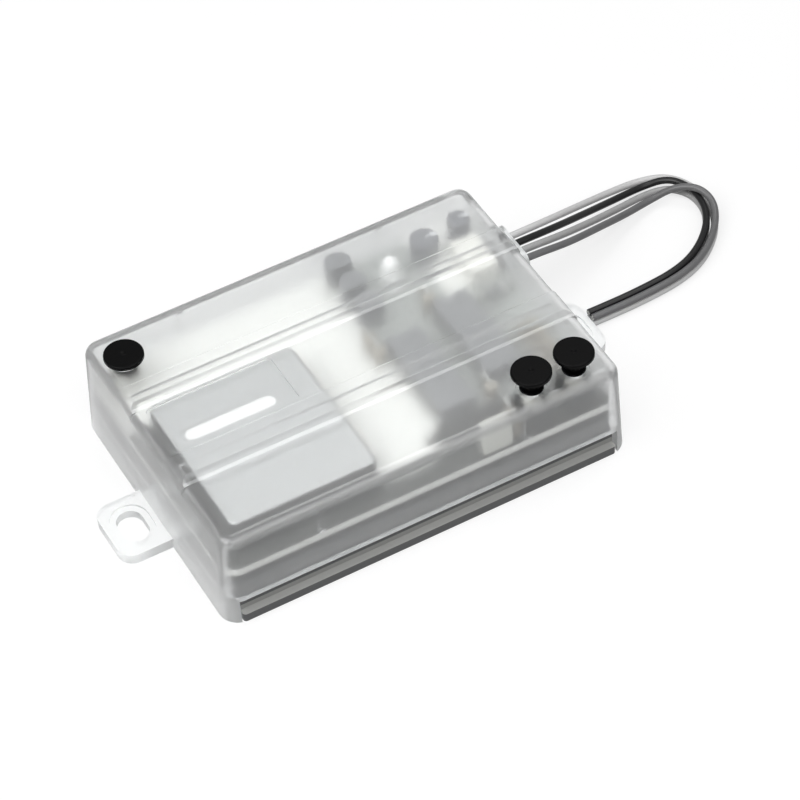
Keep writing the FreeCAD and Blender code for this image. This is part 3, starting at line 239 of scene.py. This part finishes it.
def new_material(name, light, dark, grain, rough, height=0.0, stretch=(1, 1, 1), **plain):
    """A Principled material whose colour, roughness and height follow one noise."""
    material = bpy.data.materials.new(name)
    material.use_nodes = True
    tree = material.node_tree
    tree.nodes.clear()
    place = add_node(tree, "ShaderNodeTexCoord").outputs["Object"]
    drawn = add_node(tree, "ShaderNodeMapping", {"Vector": place, "Scale": stretch})
    noise = add_node(
        tree, "ShaderNodeTexNoise",
        {"Vector": drawn.outputs[0], "Scale": 1 / (grain * MM), "Detail": 4.0, "Roughness": 0.6}
    )
    colour = blend_colours(tree, noise.outputs["Fac"], dark, light)
    gloss = add_node(
        tree, "ShaderNodeMapRange",
        {"Value": noise.outputs["Fac"], "To Min": rough[0], "To Max": rough[1]}
    )
    shader = add_node(
        tree, "ShaderNodeBsdfPrincipled",
        {"Base Color": colour, "Roughness": gloss.outputs[0]}
    )
    for socket, value in plain.items():
        shader.inputs[socket.replace("_", " ")].default_value = value
    if height:
        bump = add_node(
            tree, "ShaderNodeBump",
            {"Height": noise.outputs["Fac"], "Distance": height * MM, "Strength": 1.0}
        )
        tree.links.new(bump.outputs[0], shader.inputs["Normal"])
    add_node(tree, "ShaderNodeOutputMaterial", {"Surface": shader.outputs[0]})
    return material, tree, shader, place


def dress(node, material):
    """Give a CAD node its finish."""
    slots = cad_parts[node].data.materials
    slots.clear()
    slots.append(material)
    print(node, "in", material.name)


# %% [markdown]
# A mask says where on a piece a second finish starts. It is worked out from Object
# coordinates: which side of a level a point is on, or whether it lies further than a
# distance from a point along one axis. Two masks can be joined. All levels and
# distances are in millimetres.
# %% Masks


def limit(tree, place, axis, level, side):
    """One where a coordinate is on one side of a level."""
    along = add_node(tree, "ShaderNodeSeparateXYZ", {"Vector": place}).outputs[axis]
    return add_node(tree, "ShaderNodeMath", {0: along, 1: level * MM}, operation=side).outputs[0]


def below(tree, place, level):
    """One under a level."""
    return limit(tree, place, "Z", level, "LESS_THAN")


def beyond(tree, place, axis, centre, distance):
    """One where a coordinate is further from the centre than the distance."""
    along = add_node(tree, "ShaderNodeSeparateXYZ", {"Vector": place}).outputs[axis]
    offset = add_node(tree, "ShaderNodeMath", {0: along, 1: centre * MM}, operation="SUBTRACT")
    size = add_node(tree, "ShaderNodeMath", {0: offset.outputs[0]}, operation="ABSOLUTE")
    return add_node(
        tree, "ShaderNodeMath", {0: size.outputs[0], 1: distance * MM}, operation="GREATER_THAN"
    ).outputs[0]


def either(tree, first, second):
    """One where at least one of two masks is one."""
    return add_node(tree, "ShaderNodeMath", {0: first, 1: second}, operation="MAXIMUM").outputs[0]


def both(tree, first, second):
    """One where two masks are one."""
    return add_node(tree, "ShaderNodeMath", {0: first, 1: second}, operation="MULTIPLY").outputs[0]


# %% [markdown]
# Legs and wires are part of the same solid as the component that they carry, so one
# material has to show both, and a mask picks the metal out. Tin is a soft grey metal,
# dulled by handling and heat. Paint is only a change of colour.
# %% Paint and tin by mask
TIN = "#C9C9C5"
TIN_ROUGHNESS = 0.34


def colour_of(shader):
    """The colour that a material has so far."""
    return shader.inputs["Base Color"].links[0].from_socket


def paint_where(tree, shader, mask, code):
    """Lay a hex colour over a material wherever the mask is one."""
    painted = blend_colours(tree, mask, colour_of(shader), code)
    tree.links.new(painted, shader.inputs["Base Color"])


def tin_where(tree, shader, mask):
    """Turn a material to tinned metal wherever the mask is one."""
    paint_where(tree, shader, mask, TIN)
    rough = shader.inputs["Roughness"].links[0].from_socket
    dulled = add_node(tree, "ShaderNodeMix", {0: mask, 2: rough, 3: TIN_ROUGHNESS})
    tree.links.new(dulled.outputs[0], shader.inputs["Roughness"])
    tree.links.new(mask, shader.inputs["Metallic"])


# %% [markdown]
# The cover is polycarbonate, moulded clear in a tool whose walls were eroded by
# sparks, which leaves a fine even frost. The plastic itself bends light without
# colouring it, so what lies close behind it shows and what lies deeper blurs. A rough
# glass shader does that, and a thin smooth coat gives the skin its sheen. A small
# share of plain white stands for the light that the frost throws back, and the end
# walls, which are eroded deeper, throw back more. Lamps would hardly reach the inside
# through rough glass, so for their rays alone the wall is a see-through sheet.
# %% Frosted cover
END_WALL = 37.4
CLEAR_SHARE = 0.97
END_SHARE = 0.8
frost, tree, shader, place = new_material(
    "polycarbonate_frosted_clear", "#FCFDFD", "#F9FAFA", grain=0.35, rough=(0.285, 0.325),
    height=0.0008, IOR=1.58, Coat_Weight=0.5, Coat_Roughness=0.06
)
clear = add_node(
    tree, "ShaderNodeMapRange",
    {"Value": beyond(tree, place, "X", 0.0, END_WALL), "To Min": CLEAR_SHARE, "To Max": END_SHARE}
)
tree.links.new(clear.outputs[0], shader.inputs["Transmission Weight"])
sheet = add_node(tree, "ShaderNodeBsdfTransparent", {"Color": linear("#FAFBFB")})
wall = add_node(
    tree, "ShaderNodeMixShader",
    {0: ray_is(tree, "Shadow"), 1: shader.outputs[0], 2: sheet.outputs[0]}
)
output = next(n for n in tree.nodes if n.type == "OUTPUT_MATERIAL")
tree.links.new(wall.outputs[0], output.inputs["Surface"])
dress("cover", frost)


# %% [markdown]
# The base is black ABS, moulded in a plain tool: satin, with a soft grain. Its colour is
# a dark grey, lighter than the plastic, as a painted sheen. The ledge in front of the cover
# and the corner behind it are painted lighter still, as painted light from above, so a
# mask picks out what lies between two levels.
# %% Black base
LEDGE_LIGHT_LOW = 1.66
LEDGE_LIGHT_HIGH = 2.7
abs_black, tree, shader, place = new_material(
    "abs_black_satin", "#5A5B5C", "#4E4F50", grain=0.5, rough=(0.3, 0.4), height=0.004
)
painted_ledge_light = add_node(
    tree, "ShaderNodeMath",
    {0: below(tree, place, LEDGE_LIGHT_HIGH), 1: below(tree, place, LEDGE_LIGHT_LOW)}, operation="SUBTRACT"
)
# Painted light: the ledge and the corner behind it are lighter, as if lit from above.
paint_where(tree, shader, painted_ledge_light.outputs[0], "#949492")
dress("base", abs_black)


# %% [markdown]
# The board is a pale laminate of glass cloth in resin. The cloth shows faintly, so two
# bands of waves are laid across each other. Its threads cross every half a millimetre,
# which is too fine to show through the cover. The wave node turns by 20 radians for
# each unit of its coordinate, so that its bands come some 3 mm apart, six times coarser.
# %% Laminate
THREAD = 0.5
WAVE_RATE = 20
CLOTH_SHOWS = 0.22
laminate, tree, shader, place = new_material(
    "laminate_glass_cloth_pale", "#E9E9E6", "#DFDFDB", grain=3.0, rough=(0.34, 0.46)
)
warp, weft = [
    add_node(
        tree, "ShaderNodeTexWave",
        {"Vector": place, "Scale": 1 / (THREAD * MM) / WAVE_RATE, "Distortion": 0.4},
        bands_direction=axis
    ).outputs["Fac"]
    for axis in ("X", "Y")
]
paint_where(tree, shader, both(tree, both(tree, warp, weft), CLOTH_SHOWS), "#CECECA")


# %% [markdown]
# The board's top carries a grey resist under the chips, which leaves the rear right
# corner bare. A dark tone, painted shade, runs along the front edge, wider in front of the
# can and of the chips than between them, and beside the can, where the narrow gaps
# between these tall parts and the walls lie in shade. It shows through the cover as the
# dark rims of two fields, with a bare strip from back to front between them, given
# here by its middle on X and half its width. The other numbers are levels on X or Y.
# %% Resist and painted shade
BOARD_TOP = 11.2
TOP_SKIN = 0.1
FIELD_LEFT = 8.4
BARE_CORNER_X, BARE_CORNER_Y = 24.0, 9.0
FRONT_SHADE_EDGE = -20.5
WIDE_SHADE_EDGE = -17.5
BARE_STRIP = (-1.0, 4.8)
SIDE_SHADE_X, SIDE_SHADE_Y = -33.3, 9.5

on_top = limit(tree, place, "Z", BOARD_TOP - TOP_SKIN, "GREATER_THAN")
before_corner = either(
    tree, limit(tree, place, "X", BARE_CORNER_X, "LESS_THAN"),
    limit(tree, place, "Y", BARE_CORNER_Y, "LESS_THAN")
)
field = both(tree, limit(tree, place, "X", FIELD_LEFT, "GREATER_THAN"), before_corner)
widened_shade = both(
    tree, limit(tree, place, "Y", WIDE_SHADE_EDGE, "LESS_THAN"), beyond(tree, place, "X", *BARE_STRIP)
)
front = either(tree, limit(tree, place, "Y", FRONT_SHADE_EDGE, "LESS_THAN"), widened_shade)
shade_beside_can = both(
    tree, limit(tree, place, "X", SIDE_SHADE_X, "LESS_THAN"),
    limit(tree, place, "Y", SIDE_SHADE_Y, "LESS_THAN")
)
paint_where(tree, shader, both(tree, field, on_top), "#9A9D9A")
# Painted shade: a dark tone along the front edge and beside the can.
paint_where(tree, shader, both(tree, either(tree, front, shade_beside_can), on_top), "#434543")
dress("main_board", laminate)


# %% [markdown]
# The can is drawn from tinned steel sheet. Rolling leaves fine lines along the sheet,
# so the noise is stretched a good deal along X. Its sides mirror the narrow gap round
# them and look nearly black, which a dark tone that isn't metal, below the top's edge,
# stands for.
# %% Tinned can
CAN_EDGE = 16.25
tinned, tree, shader, place = new_material(
    "steel_tinned_rolled", "#D4D5D5", "#C4C5C5", grain=0.6, rough=(0.42, 0.55),
    stretch=(0.08, 1, 1), height=0.002
)
sides = below(tree, place, CAN_EDGE)
paint_where(tree, shader, sides, "#161718")
bright = add_node(tree, "ShaderNodeMath", {0: 1.0, 1: sides}, operation="SUBTRACT")
tree.links.new(bright.outputs[0], shader.inputs["Metallic"])
dress("shield_can", tinned)


# %% [markdown]
# A white strip under the can's slot is a painted highlight: it shows as the brightest bar
# through the roof. The resonator in the can is a pressed and fired ceramic puck, matt
# and faintly speckled.
# %% Painted highlight strip and ceramic puck
highlight_strip = new_material(
    "white_strip_painted_highlight", "#EDEDEC", "#E3E3E2", grain=0.8, rough=(0.5, 0.6), height=0.002
)[0]
# Painted highlight: a white strip where a bright bar shows through the roof.
dress("slot_window", highlight_strip)
ceramic = new_material(
    "ceramic_fired_matt", "#DAD3C6", "#C9C1B2", grain=0.3, rough=(0.6, 0.75), height=0.005
)[0]
dress("dielectric_resonator", ceramic)


# %% [markdown]
# Chips and transistors are moulded in black epoxy, which is filled with silica and so
# looks dull. Through the frosted roof they show as soft grey fields without a dark
# core, so the tone is the mid grey of aged cases. Their legs are tinned. The chips and
# the oscillator's transistor mask their legs by the distance from their own middle
# line, and the other cases by the level at which the legs come out.
# %% Black epoxy parts
CHIP_MIDDLES = {"amplifier_chip": 11.4, "controller_chip": 22.4}
CHIP_HALF = 3.19
CASE_FLOOR = 12.0
OSCILLATOR_MIDDLE = -9.0
OSCILLATOR_HALF = 0.76


def epoxy(name):
    """Moulded black epoxy, to be given its tinned legs."""
    return new_material(
        name, "#7A7B7D", "#6D6E70", grain=0.25, rough=(0.55, 0.68), height=0.004
    )


for node, middle in CHIP_MIDDLES.items():
    material, tree, shader, place = epoxy("epoxy_black_" + node)
    tin_where(tree, shader, beyond(tree, place, "X", middle, CHIP_HALF))
    dress(node, material)
for node in ("voltage_regulator", "output_transistors"):
    material, tree, shader, place = epoxy("epoxy_black_" + node)
    tin_where(tree, shader, below(tree, place, CASE_FLOOR))
    dress(node, material)
material, tree, shader, place = epoxy("epoxy_black_oscillator")
tin_where(tree, shader, beyond(tree, place, "Y", OSCILLATOR_MIDDLE, OSCILLATOR_HALF))
dress("oscillator_transistor", material)


# %% [markdown]
# The diode is moulded in the same epoxy, and a pale ring is printed round one end. The
# mask is one beyond the ring, so the ring's colour comes first in the mix.
# %% Diode
DIODE_MIDDLE = 30.9
DIODE_HALF = 1.71
RING_OFFSET = 1.1
RING_HALF = 0.3
material, tree, shader, place = epoxy("epoxy_black_diode")
off_ring = beyond(tree, place, "X", DIODE_MIDDLE + RING_OFFSET, RING_HALF)
ringed = blend_colours(tree, off_ring, "#BDBDBA", colour_of(shader))
tree.links.new(ringed, shader.inputs["Base Color"])
tin_where(tree, shader, beyond(tree, place, "X", DIODE_MIDDLE, DIODE_HALF))
dress("reverse_diode", material)


# %% [markdown]
# Trimmers have a moulded PBT case and a pale nylon rotor, and stand on tinned pins. The
# case is dark on the two that set the zones and pale on the one that the factory sets.
# %% Trimmers
ZONES = ("factory", "outer_zone", "inner_zone")
CASES = {"dark": ("#1E2125", "#15181B"), "pale": ("#D2D2CE", "#C4C4BF")}
cases = {}
for tone, (light, dark) in CASES.items():
    cases[tone], tree, shader, place = new_material(
        f"trimmer_case_pbt_{tone}", light, dark, grain=0.4, rough=(0.4, 0.5), height=0.003
    )
    tin_where(tree, shader, below(tree, place, BOARD_TOP))
rotor = new_material(
    "trimmer_rotor_nylon_white", "#E2E1DC", "#D5D4CD", grain=0.4, rough=(0.42, 0.55),
    height=0.002
)[0]
for zone in ZONES:
    dress(f"{zone}_trimmer_body", cases["pale" if zone == "factory" else "dark"])
    dress(f"{zone}_trimmer_rotor", rotor)


# %% [markdown]
# The header is moulded in natural nylon, a warm milky white, and its pins are tinned
# brass.
# %% Header and pins
nylon = new_material(
    "nylon_natural", "#E5E4DF", "#D8D7D0", grain=0.8, rough=(0.42, 0.55), height=0.003
)[0]
dress("wire_header", nylon)
pins = new_material(
    "brass_pins_tinned", "#D2D2CE", "#B4B4B0", grain=0.3, rough=(0.25, 0.38), Metallic=1.0
)[0]
dress("header_pins", pins)


# %% [markdown]
# The lamp is cast from milky epoxy, glossy as it leaves the mould, and the film
# capacitor is potted in a pale polyester box. Both stand on tinned legs, which start at
# a level of their own.
# %% Indicator lamp and film capacitor
LAMP_FOOT = 11.69
BOX_FOOT = 11.49
milky, tree, shader, place = new_material(
    "epoxy_cast_milky", "#FFFFFF", "#F4F4F2", grain=1.0, rough=(0.16, 0.24), Coat_Weight=0.3
)
tin_where(tree, shader, below(tree, place, LAMP_FOOT))
dress("indicator_led", milky)
box_case, tree, shader, place = new_material(
    "polyester_box_pale", "#D6D6D0", "#C8C8C1", grain=0.5, rough=(0.42, 0.55), height=0.004
)
tin_where(tree, shader, below(tree, place, BOX_FOOT))
dress("film_capacitor", box_case)


# %% [markdown]
# Electrolytic capacitors wear a shrunk sleeve of grey PVC with one pale stripe down the
# side of the negative wire. The stripe is a slice of angle round each one's own axis:
# where a point lies further along X than three times its distance from the axis on Y.
# %% Capacitor sleeves
CAPACITORS = {"supply_capacitor": (25.0, 19.0), "timing_capacitor": (32.5, 20.2)}
STRIPE_SLOPE = 3.0
for node, (x, y) in CAPACITORS.items():
    sleeve, tree, shader, place = new_material(
        "pvc_sleeve_" + node, "#77787C", "#67686C", grain=0.8, rough=(0.28, 0.4), height=0.003
    )
    own = add_node(tree, "ShaderNodeMapping", {"Vector": place, "Location": (-x * MM, -y * MM, 0)})
    axes = add_node(tree, "ShaderNodeSeparateXYZ", {"Vector": own.outputs[0]})
    off = add_node(tree, "ShaderNodeMath", {0: axes.outputs["Y"]}, operation="ABSOLUTE")
    wide = add_node(
        tree, "ShaderNodeMath", {0: off.outputs[0], 1: STRIPE_SLOPE}, operation="MULTIPLY"
    )
    stripe = add_node(
        tree, "ShaderNodeMath", {0: axes.outputs["X"], 1: wide.outputs[0]}, operation="GREATER_THAN"
    )
    paint_where(tree, shader, stripe.outputs[0], "#B9BABC")
    tin_where(tree, shader, below(tree, place, BOARD_TOP))
    dress(node, sleeve)


# %% [markdown]
# The choke is wound on a ferrite rod and dipped in a dark green-grey lacquer. It lies
# along X, and its wires come out of both ends, so the mask starts a hair outside them.
# %% Choke
HAIR = 0.01
CHOKE_MIDDLE = 12.7
CHOKE_HALF = 6.0
material, tree, shader, place = new_material(
    "lacquer_choke_dark", "#232624", "#171918", grain=0.6, rough=(0.3, 0.42), height=0.01
)
tin_where(tree, shader, beyond(tree, place, "X", CHOKE_MIDDLE, CHOKE_HALF + HAIR))
dress("supply_choke", material)


# %% [markdown]
# Resistors are dipped in a tan lacquer and ringed with colour bands. The bands lie
# along X on the flat ones and along Z on the standing ones, so a ramp with hard steps
# is read from that coordinate, from one end of the body to the other. What lies outside
# the body is wire.
# %% Resistors
BODY_HALF = 1.7
FLAT_MIDDLE = 30.9
STANDING_LOW = 11.7
LACQUER = "#A09A8F"
BANDS = [
    (0.0, LACQUER), (0.14, "#4A433D"), (0.22, LACQUER), (0.34, "#2B2B2B"), (0.42, LACQUER),
    (0.54, "#5A4E44"), (0.62, LACQUER), (0.78, "#8C8064"), (0.86, LACQUER),
]


def banded(name, axis, middle):
    """Lacquer with bands along one axis, and tinned wires past the body's ends."""
    material, tree, shader, place = new_material(
        name, "#A8A298", "#989288", grain=0.5, rough=(0.3, 0.42), height=0.003
    )
    along = add_node(tree, "ShaderNodeSeparateXYZ", {"Vector": place}).outputs[axis]
    share = add_node(
        tree, "ShaderNodeMapRange",
        {"Value": along, "From Min": (middle - BODY_HALF) * MM,
         "From Max": (middle + BODY_HALF) * MM}
    )
    ramp = add_node(tree, "ShaderNodeValToRGB", {"Fac": share.outputs[0]})
    ramp.color_ramp.interpolation = "CONSTANT"
    while len(ramp.color_ramp.elements) < len(BANDS):
        ramp.color_ramp.elements.new(1.0)
    for element, (position, code) in zip(ramp.color_ramp.elements, BANDS):
        element.position = position
        element.color = linear(code)
    tree.links.new(ramp.outputs["Color"], shader.inputs["Base Color"])
    tin_where(tree, shader, beyond(tree, place, axis, middle, BODY_HALF + HAIR))
    return material


dress("flat_resistors", banded("resistor_lacquer_flat", "X", FLAT_MIDDLE))
dress(
    "standing_resistors", banded("resistor_lacquer_standing", "Z", STANDING_LOW + BODY_HALF)
)


# %% [markdown]
# The hole plugs are moulded from black rubber: deep black on the flat, with a soft
# shine that only shows as glints on the heads' rounded rims, and a fine grain from the
# tool.
# %% Rubber plugs
rubber = new_material(
    "rubber_black_moulded", "#070708", "#040404", grain=0.35, rough=(0.26, 0.4), height=0.004,
    Specular_IOR_Level=0.1
)[0]
for zone in ZONES:
    dress(f"{zone}_hole_plug", rubber)


# %% [markdown]
# Four hook-up leads leave the header side by side, drop to the surface, turn and come
# back to the right ear as a bundle, two on two. A lead keeps its length whatever way it
# lies, so each is one smooth curve through a route, whose points are in millimetres.
# %% Routes of the leads
ROUTES = {
    "light_grey": [
        (33.6, 15.7, 12.4), (41.0, 15.7, 12.4), (49.0, 17.8, 10.1), (57.0, 21.3, 6.3),
        (65.0, 24.6, 2.7), (72.5, 26.2, 0.7), (77.8, 24.6, 0.7), (80.5, 20.2, 0.7),
        (80.8, 14.6, 0.7), (78.8, 9.4, 0.7), (74.9, 5.1, 0.7), (70.2, 2.1, 0.7),
        (64.8, 0.6, 0.7), (58.8, 0.1, 0.7), (53.0, -0.1, 0.7), (47.3, 0.0, 0.7),
    ],
    "black": [
        (33.6, 13.7, 12.4), (41.0, 13.7, 12.4), (49.0, 15.6, 10.1), (57.0, 19.1, 6.3),
        (65.0, 22.5, 2.7), (72.4, 24.4, 0.9), (77.0, 23.0, 1.9), (79.1, 19.2, 2.15),
        (79.3, 14.8, 2.1), (77.6, 10.4, 2.1), (74.0, 6.4, 2.1), (69.6, 3.5, 2.1),
        (64.6, 2.0, 2.1), (58.7, 1.5, 2.1), (53.0, 1.3, 2.1), (47.3, 1.4, 2.1),
    ],
    "mid_grey": [
        (33.6, 11.7, 12.4), (41.0, 11.7, 12.4), (49.0, 13.3, 10.1), (57.0, 16.7, 6.3),
        (65.0, 20.2, 2.7), (72.0, 22.5, 0.7), (76.5, 21.8, 0.7), (79.0, 18.6, 0.7),
        (79.3, 14.5, 0.7), (77.6, 10.4, 0.7), (74.0, 6.4, 0.7), (69.6, 3.5, 0.7),
        (64.6, 2.0, 0.7), (58.7, 1.5, 0.7), (53.0, 1.3, 0.7), (47.3, 1.4, 0.7),
    ],
    "dark_grey": [
        (33.6, 9.7, 12.4), (41.0, 9.7, 12.4), (49.0, 11.0, 10.2), (57.0, 14.6, 6.5),
        (65.0, 18.0, 3.0), (71.6, 20.2, 1.4), (76.2, 19.6, 2.8), (79.4, 16.8, 3.7),
        (80.5, 13.2, 2.9), (78.8, 9.4, 2.1), (74.9, 5.1, 2.1), (70.2, 2.1, 2.1),
        (64.8, 0.6, 2.1), (58.8, 0.1, 2.1), (53.0, -0.1, 2.1), (47.3, 0.0, 2.1),
    ],
}
print("routes", {shade: len(route) for shade, route in ROUTES.items()}, "points")

# %% [markdown]
# Each lead is a stranded copper wire in a soft PVC skin, 1.3 mm across. The skins
# differ only in their grey. Soft PVC is smooth and shines in a long line along the
# lead, and it picks up fine scuffs.
# %% Lead skins
SKINS = {
    "light_grey": ("#CFCFCF", "#C0C0C0"),
    "black": ("#1B1B1C", "#121213"),
    "mid_grey": ("#A6A6A6", "#989898"),
    "dark_grey": ("#6C6C6D", "#5C5C5D"),
}
skins = {
    shade: new_material(
        f"pvc_soft_{shade}", light, dark, grain=1.2, rough=(0.26, 0.38),
        stretch=(0.2, 1, 1), height=0.004
    )[0]
    for shade, (light, dark) in SKINS.items()
}
print("skins", ", ".join(skins))

# %% [markdown]
# A tube of short straight pieces would show its corners in the tight bend, so each lead
# is a NURBS curve of the third order, with the route's points as its control points,
# and the curve's own round bevel gives it its thickness.
# %% Lay the leads
LEAD_DIAMETER = 1.3 * MM


def lay_lead(shade, route):
    """One lead as a round NURBS curve along its route."""
    curve = bpy.data.curves.new(f"{shade}_lead", "CURVE")
    curve.dimensions = "3D"
    curve.bevel_depth = LEAD_DIAMETER / 2
    curve.bevel_resolution = 5
    curve.resolution_u = 10
    curve.use_fill_caps = True
    spline = curve.splines.new("NURBS")
    spline.points.add(len(route) - 1)
    for point, spot in zip(spline.points, route):
        point.co = (*(c * MM for c in spot), 1.0)
    spline.order_u = 3
    spline.use_endpoint_u = True
    curve.materials.append(skins[shade])
    lead = bpy.data.objects.new(f"{shade}_lead", curve)
    scene.collection.objects.link(lead)
    return lead


leads = {shade: lay_lead(shade, route) for shade, route in ROUTES.items()}
print("leads", ", ".join(leads))

# %% [markdown]
# What repeats is made by Geometry Nodes: one small shape is set on every point of a
# mesh, and the copies are made real and given their material. This helper builds the
# frame of such a tree around the shape that a step gives it, applies it and returns a
# plain mesh object.
# %% Repeats on points


def repeat_on_points(name, points, shape, sizes, material, turn=(0, 0, 0)):
    """Set a shape on each point. shape gets the tree and the sizes' sockets."""
    tree = bpy.data.node_groups.new(name, "GeometryNodeTree")
    tree.interface.new_socket("Points", in_out="INPUT", socket_type="NodeSocketGeometry")
    tree.interface.new_socket("Geometry", in_out="OUTPUT", socket_type="NodeSocketGeometry")
    named = {
        word: tree.interface.new_socket(word, in_out="INPUT", socket_type="NodeSocketFloat")
        for word in sizes
    }
    inputs = add_node(tree, "NodeGroupInput")
    piece = shape(tree, {word: inputs.outputs[word] for word in sizes})
    spread = add_node(
        tree, "GeometryNodeInstanceOnPoints",
        {"Points": inputs.outputs["Points"], "Instance": piece, "Rotation": turn}
    )
    real = add_node(tree, "GeometryNodeRealizeInstances", {0: spread.outputs[0]})
    smooth = add_node(tree, "GeometryNodeSetShadeSmooth", {0: real.outputs[0]})
    clad = add_node(
        tree, "GeometryNodeSetMaterial", {"Geometry": smooth.outputs[0], "Material": material}
    )
    add_node(tree, "NodeGroupOutput", {0: clad.outputs[0]})
    mesh = bpy.data.meshes.new(name + "_points")
    mesh.from_pydata(points, [], [])
    holder = bpy.data.objects.new(name + "_points", mesh)
    scene.collection.objects.link(holder)
    modifier = holder.modifiers.new("repeat", "NODES")
    modifier.node_group = tree
    for word, value in sizes.items():
        modifier[named[word].identifier] = value
    graph = bpy.context.evaluated_depsgraph_get()
    made = bpy.data.meshes.new_from_object(holder.evaluated_get(graph))
    bpy.data.objects.remove(holder)
    result = bpy.data.objects.new(name, made)
    scene.collection.objects.link(result)
    print(name, len(points), "copies,", len(made.polygons), "faces")
    return result


# %% [markdown]
# At the ear each lead ends cut square. Seven tinned copper strands fill the middle of
# the cut and stand a hair out of it, one in the centre and six round it. A strand is
# made standing on Z and then laid along the lead.
# %% Cut ends of the leads
STRAND_RADIUS = 0.13 * MM
STRAND_PITCH = 0.27 * MM
STRAND_LENGTH = 0.7 * MM
STRAND_PROUD = 0.2 * MM
STRAND_SIDES = 12
RING_STRANDS = 6
LAID = (0, math.radians(90), 0)
strands = new_material(
    "copper_strands_tinned", "#C9C9C6", "#A5A5A2", grain=0.15, rough=(0.28, 0.4), Metallic=1.0
)[0]


def strand(tree, sizes):
    """One short round strand, standing on Z."""
    return add_node(
        tree, "GeometryNodeMeshCylinder",
        {"Vertices": STRAND_SIDES, "Radius": sizes["Strand Radius"],
         "Depth": sizes["Strand Length"]}
    ).outputs["Mesh"]


ends = {}
for shade, route in ROUTES.items():
    x, y, z = (c * MM for c in route[-1])
    middle = x - STRAND_PROUD + STRAND_LENGTH / 2
    angles = [math.radians(360 / RING_STRANDS * n) for n in range(RING_STRANDS)]
    spots = [(middle, y, z)] + [
        (middle, y + STRAND_PITCH * math.cos(a), z + STRAND_PITCH * math.sin(a))
        for a in angles
    ]
    ends[shade] = repeat_on_points(
        f"{shade}_strands", spots, strand,
        {"Strand Radius": STRAND_RADIUS, "Strand Length": STRAND_LENGTH}, strands, LAID
    )
    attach(ends[shade], "sensor")

# %% [markdown]
# Each lead is attached to the sensor's body, as its strands are. It takes the place of the
# CAD model's own plain lead, which is hidden.
for shade, lead in leads.items():
    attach(lead, "sensor")
    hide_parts(f"lead_{shade}")

# %% [markdown]
# Under the board every pin ends in a small cone of solder. The feet of the pins are
# read from the CAD nodes: the lowest points of each node, gathered pin by pin. A pin is
# at most 0.6 mm wide, so points less than one and a half times that apart, a little
# more than its diagonal, are of the same pin.
# %% Feet of the pins
BOARD_BOTTOM = 9.6
JOINT_HEIGHT = 0.72 * MM
LEVEL_PLAY = 0.02 * MM
PIN_WIDTH = 0.6 * MM
SAME_PIN = 1.5
PINNED = [
    "header_pins", "indicator_led", "amplifier_chip", "controller_chip", "voltage_regulator",
    "output_transistors", "supply_capacitor", "timing_capacitor", "film_capacitor",
    "supply_choke", "flat_resistors", "standing_resistors", "reverse_diode",
] + [f"{zone}_trimmer_body" for zone in ZONES]


def pin_feet(node):
    """The middle of the joint at each pin of a node."""
    spots = [v.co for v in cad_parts[node].data.vertices]
    low = min(spot.z for spot in spots)
    groups = []
    for spot in spots:
        if spot.z > low + LEVEL_PLAY:
            continue
        near = next(
            (g for g in groups if (g[0].xy - spot.xy).length < PIN_WIDTH * SAME_PIN), None
        )
        if near is None:
            groups.append([spot])
        else:
            near.append(spot)
    return [
        (
            (min(s.x for s in g) + max(s.x for s in g)) / 2,
            (min(s.y for s in g) + max(s.y for s in g)) / 2,
            BOARD_BOTTOM * MM - JOINT_HEIGHT,
        )
        for g in groups
    ]


feet = [foot for node in PINNED for foot in pin_feet(node)]
print("pins", len(feet))

# %% [markdown]
# Molten solder draws up to the copper round the pin and stays bright. It is a plain
# cone here, wide at the board and narrow at the pin's tip, because nobody sees it from
# near.
# %% Solder joints
JOINT_RADIUS = 0.75 * MM
JOINT_TIP = 0.32 * MM
JOINT_SIDES = 14
solder = new_material(
    "solder_tin_bright", "#D4D5D4", "#BDBEBD", grain=0.5, rough=(0.2, 0.34), height=0.004,
    Metallic=1.0
)[0]


def fillet(tree, sizes):
    """A cone of solder, wide end up."""
    return add_node(
        tree, "GeometryNodeMeshCone",
        {"Vertices": JOINT_SIDES, "Radius Top": sizes["Pad Radius"],
         "Radius Bottom": sizes["Tip Radius"], "Depth": sizes["Joint Height"]}
    ).outputs["Mesh"]


joints = repeat_on_points(
    "solder_joints", feet, fillet,
    {"Pad Radius": JOINT_RADIUS, "Tip Radius": JOINT_TIP, "Joint Height": JOINT_HEIGHT}, solder
)
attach(joints, "sensor")
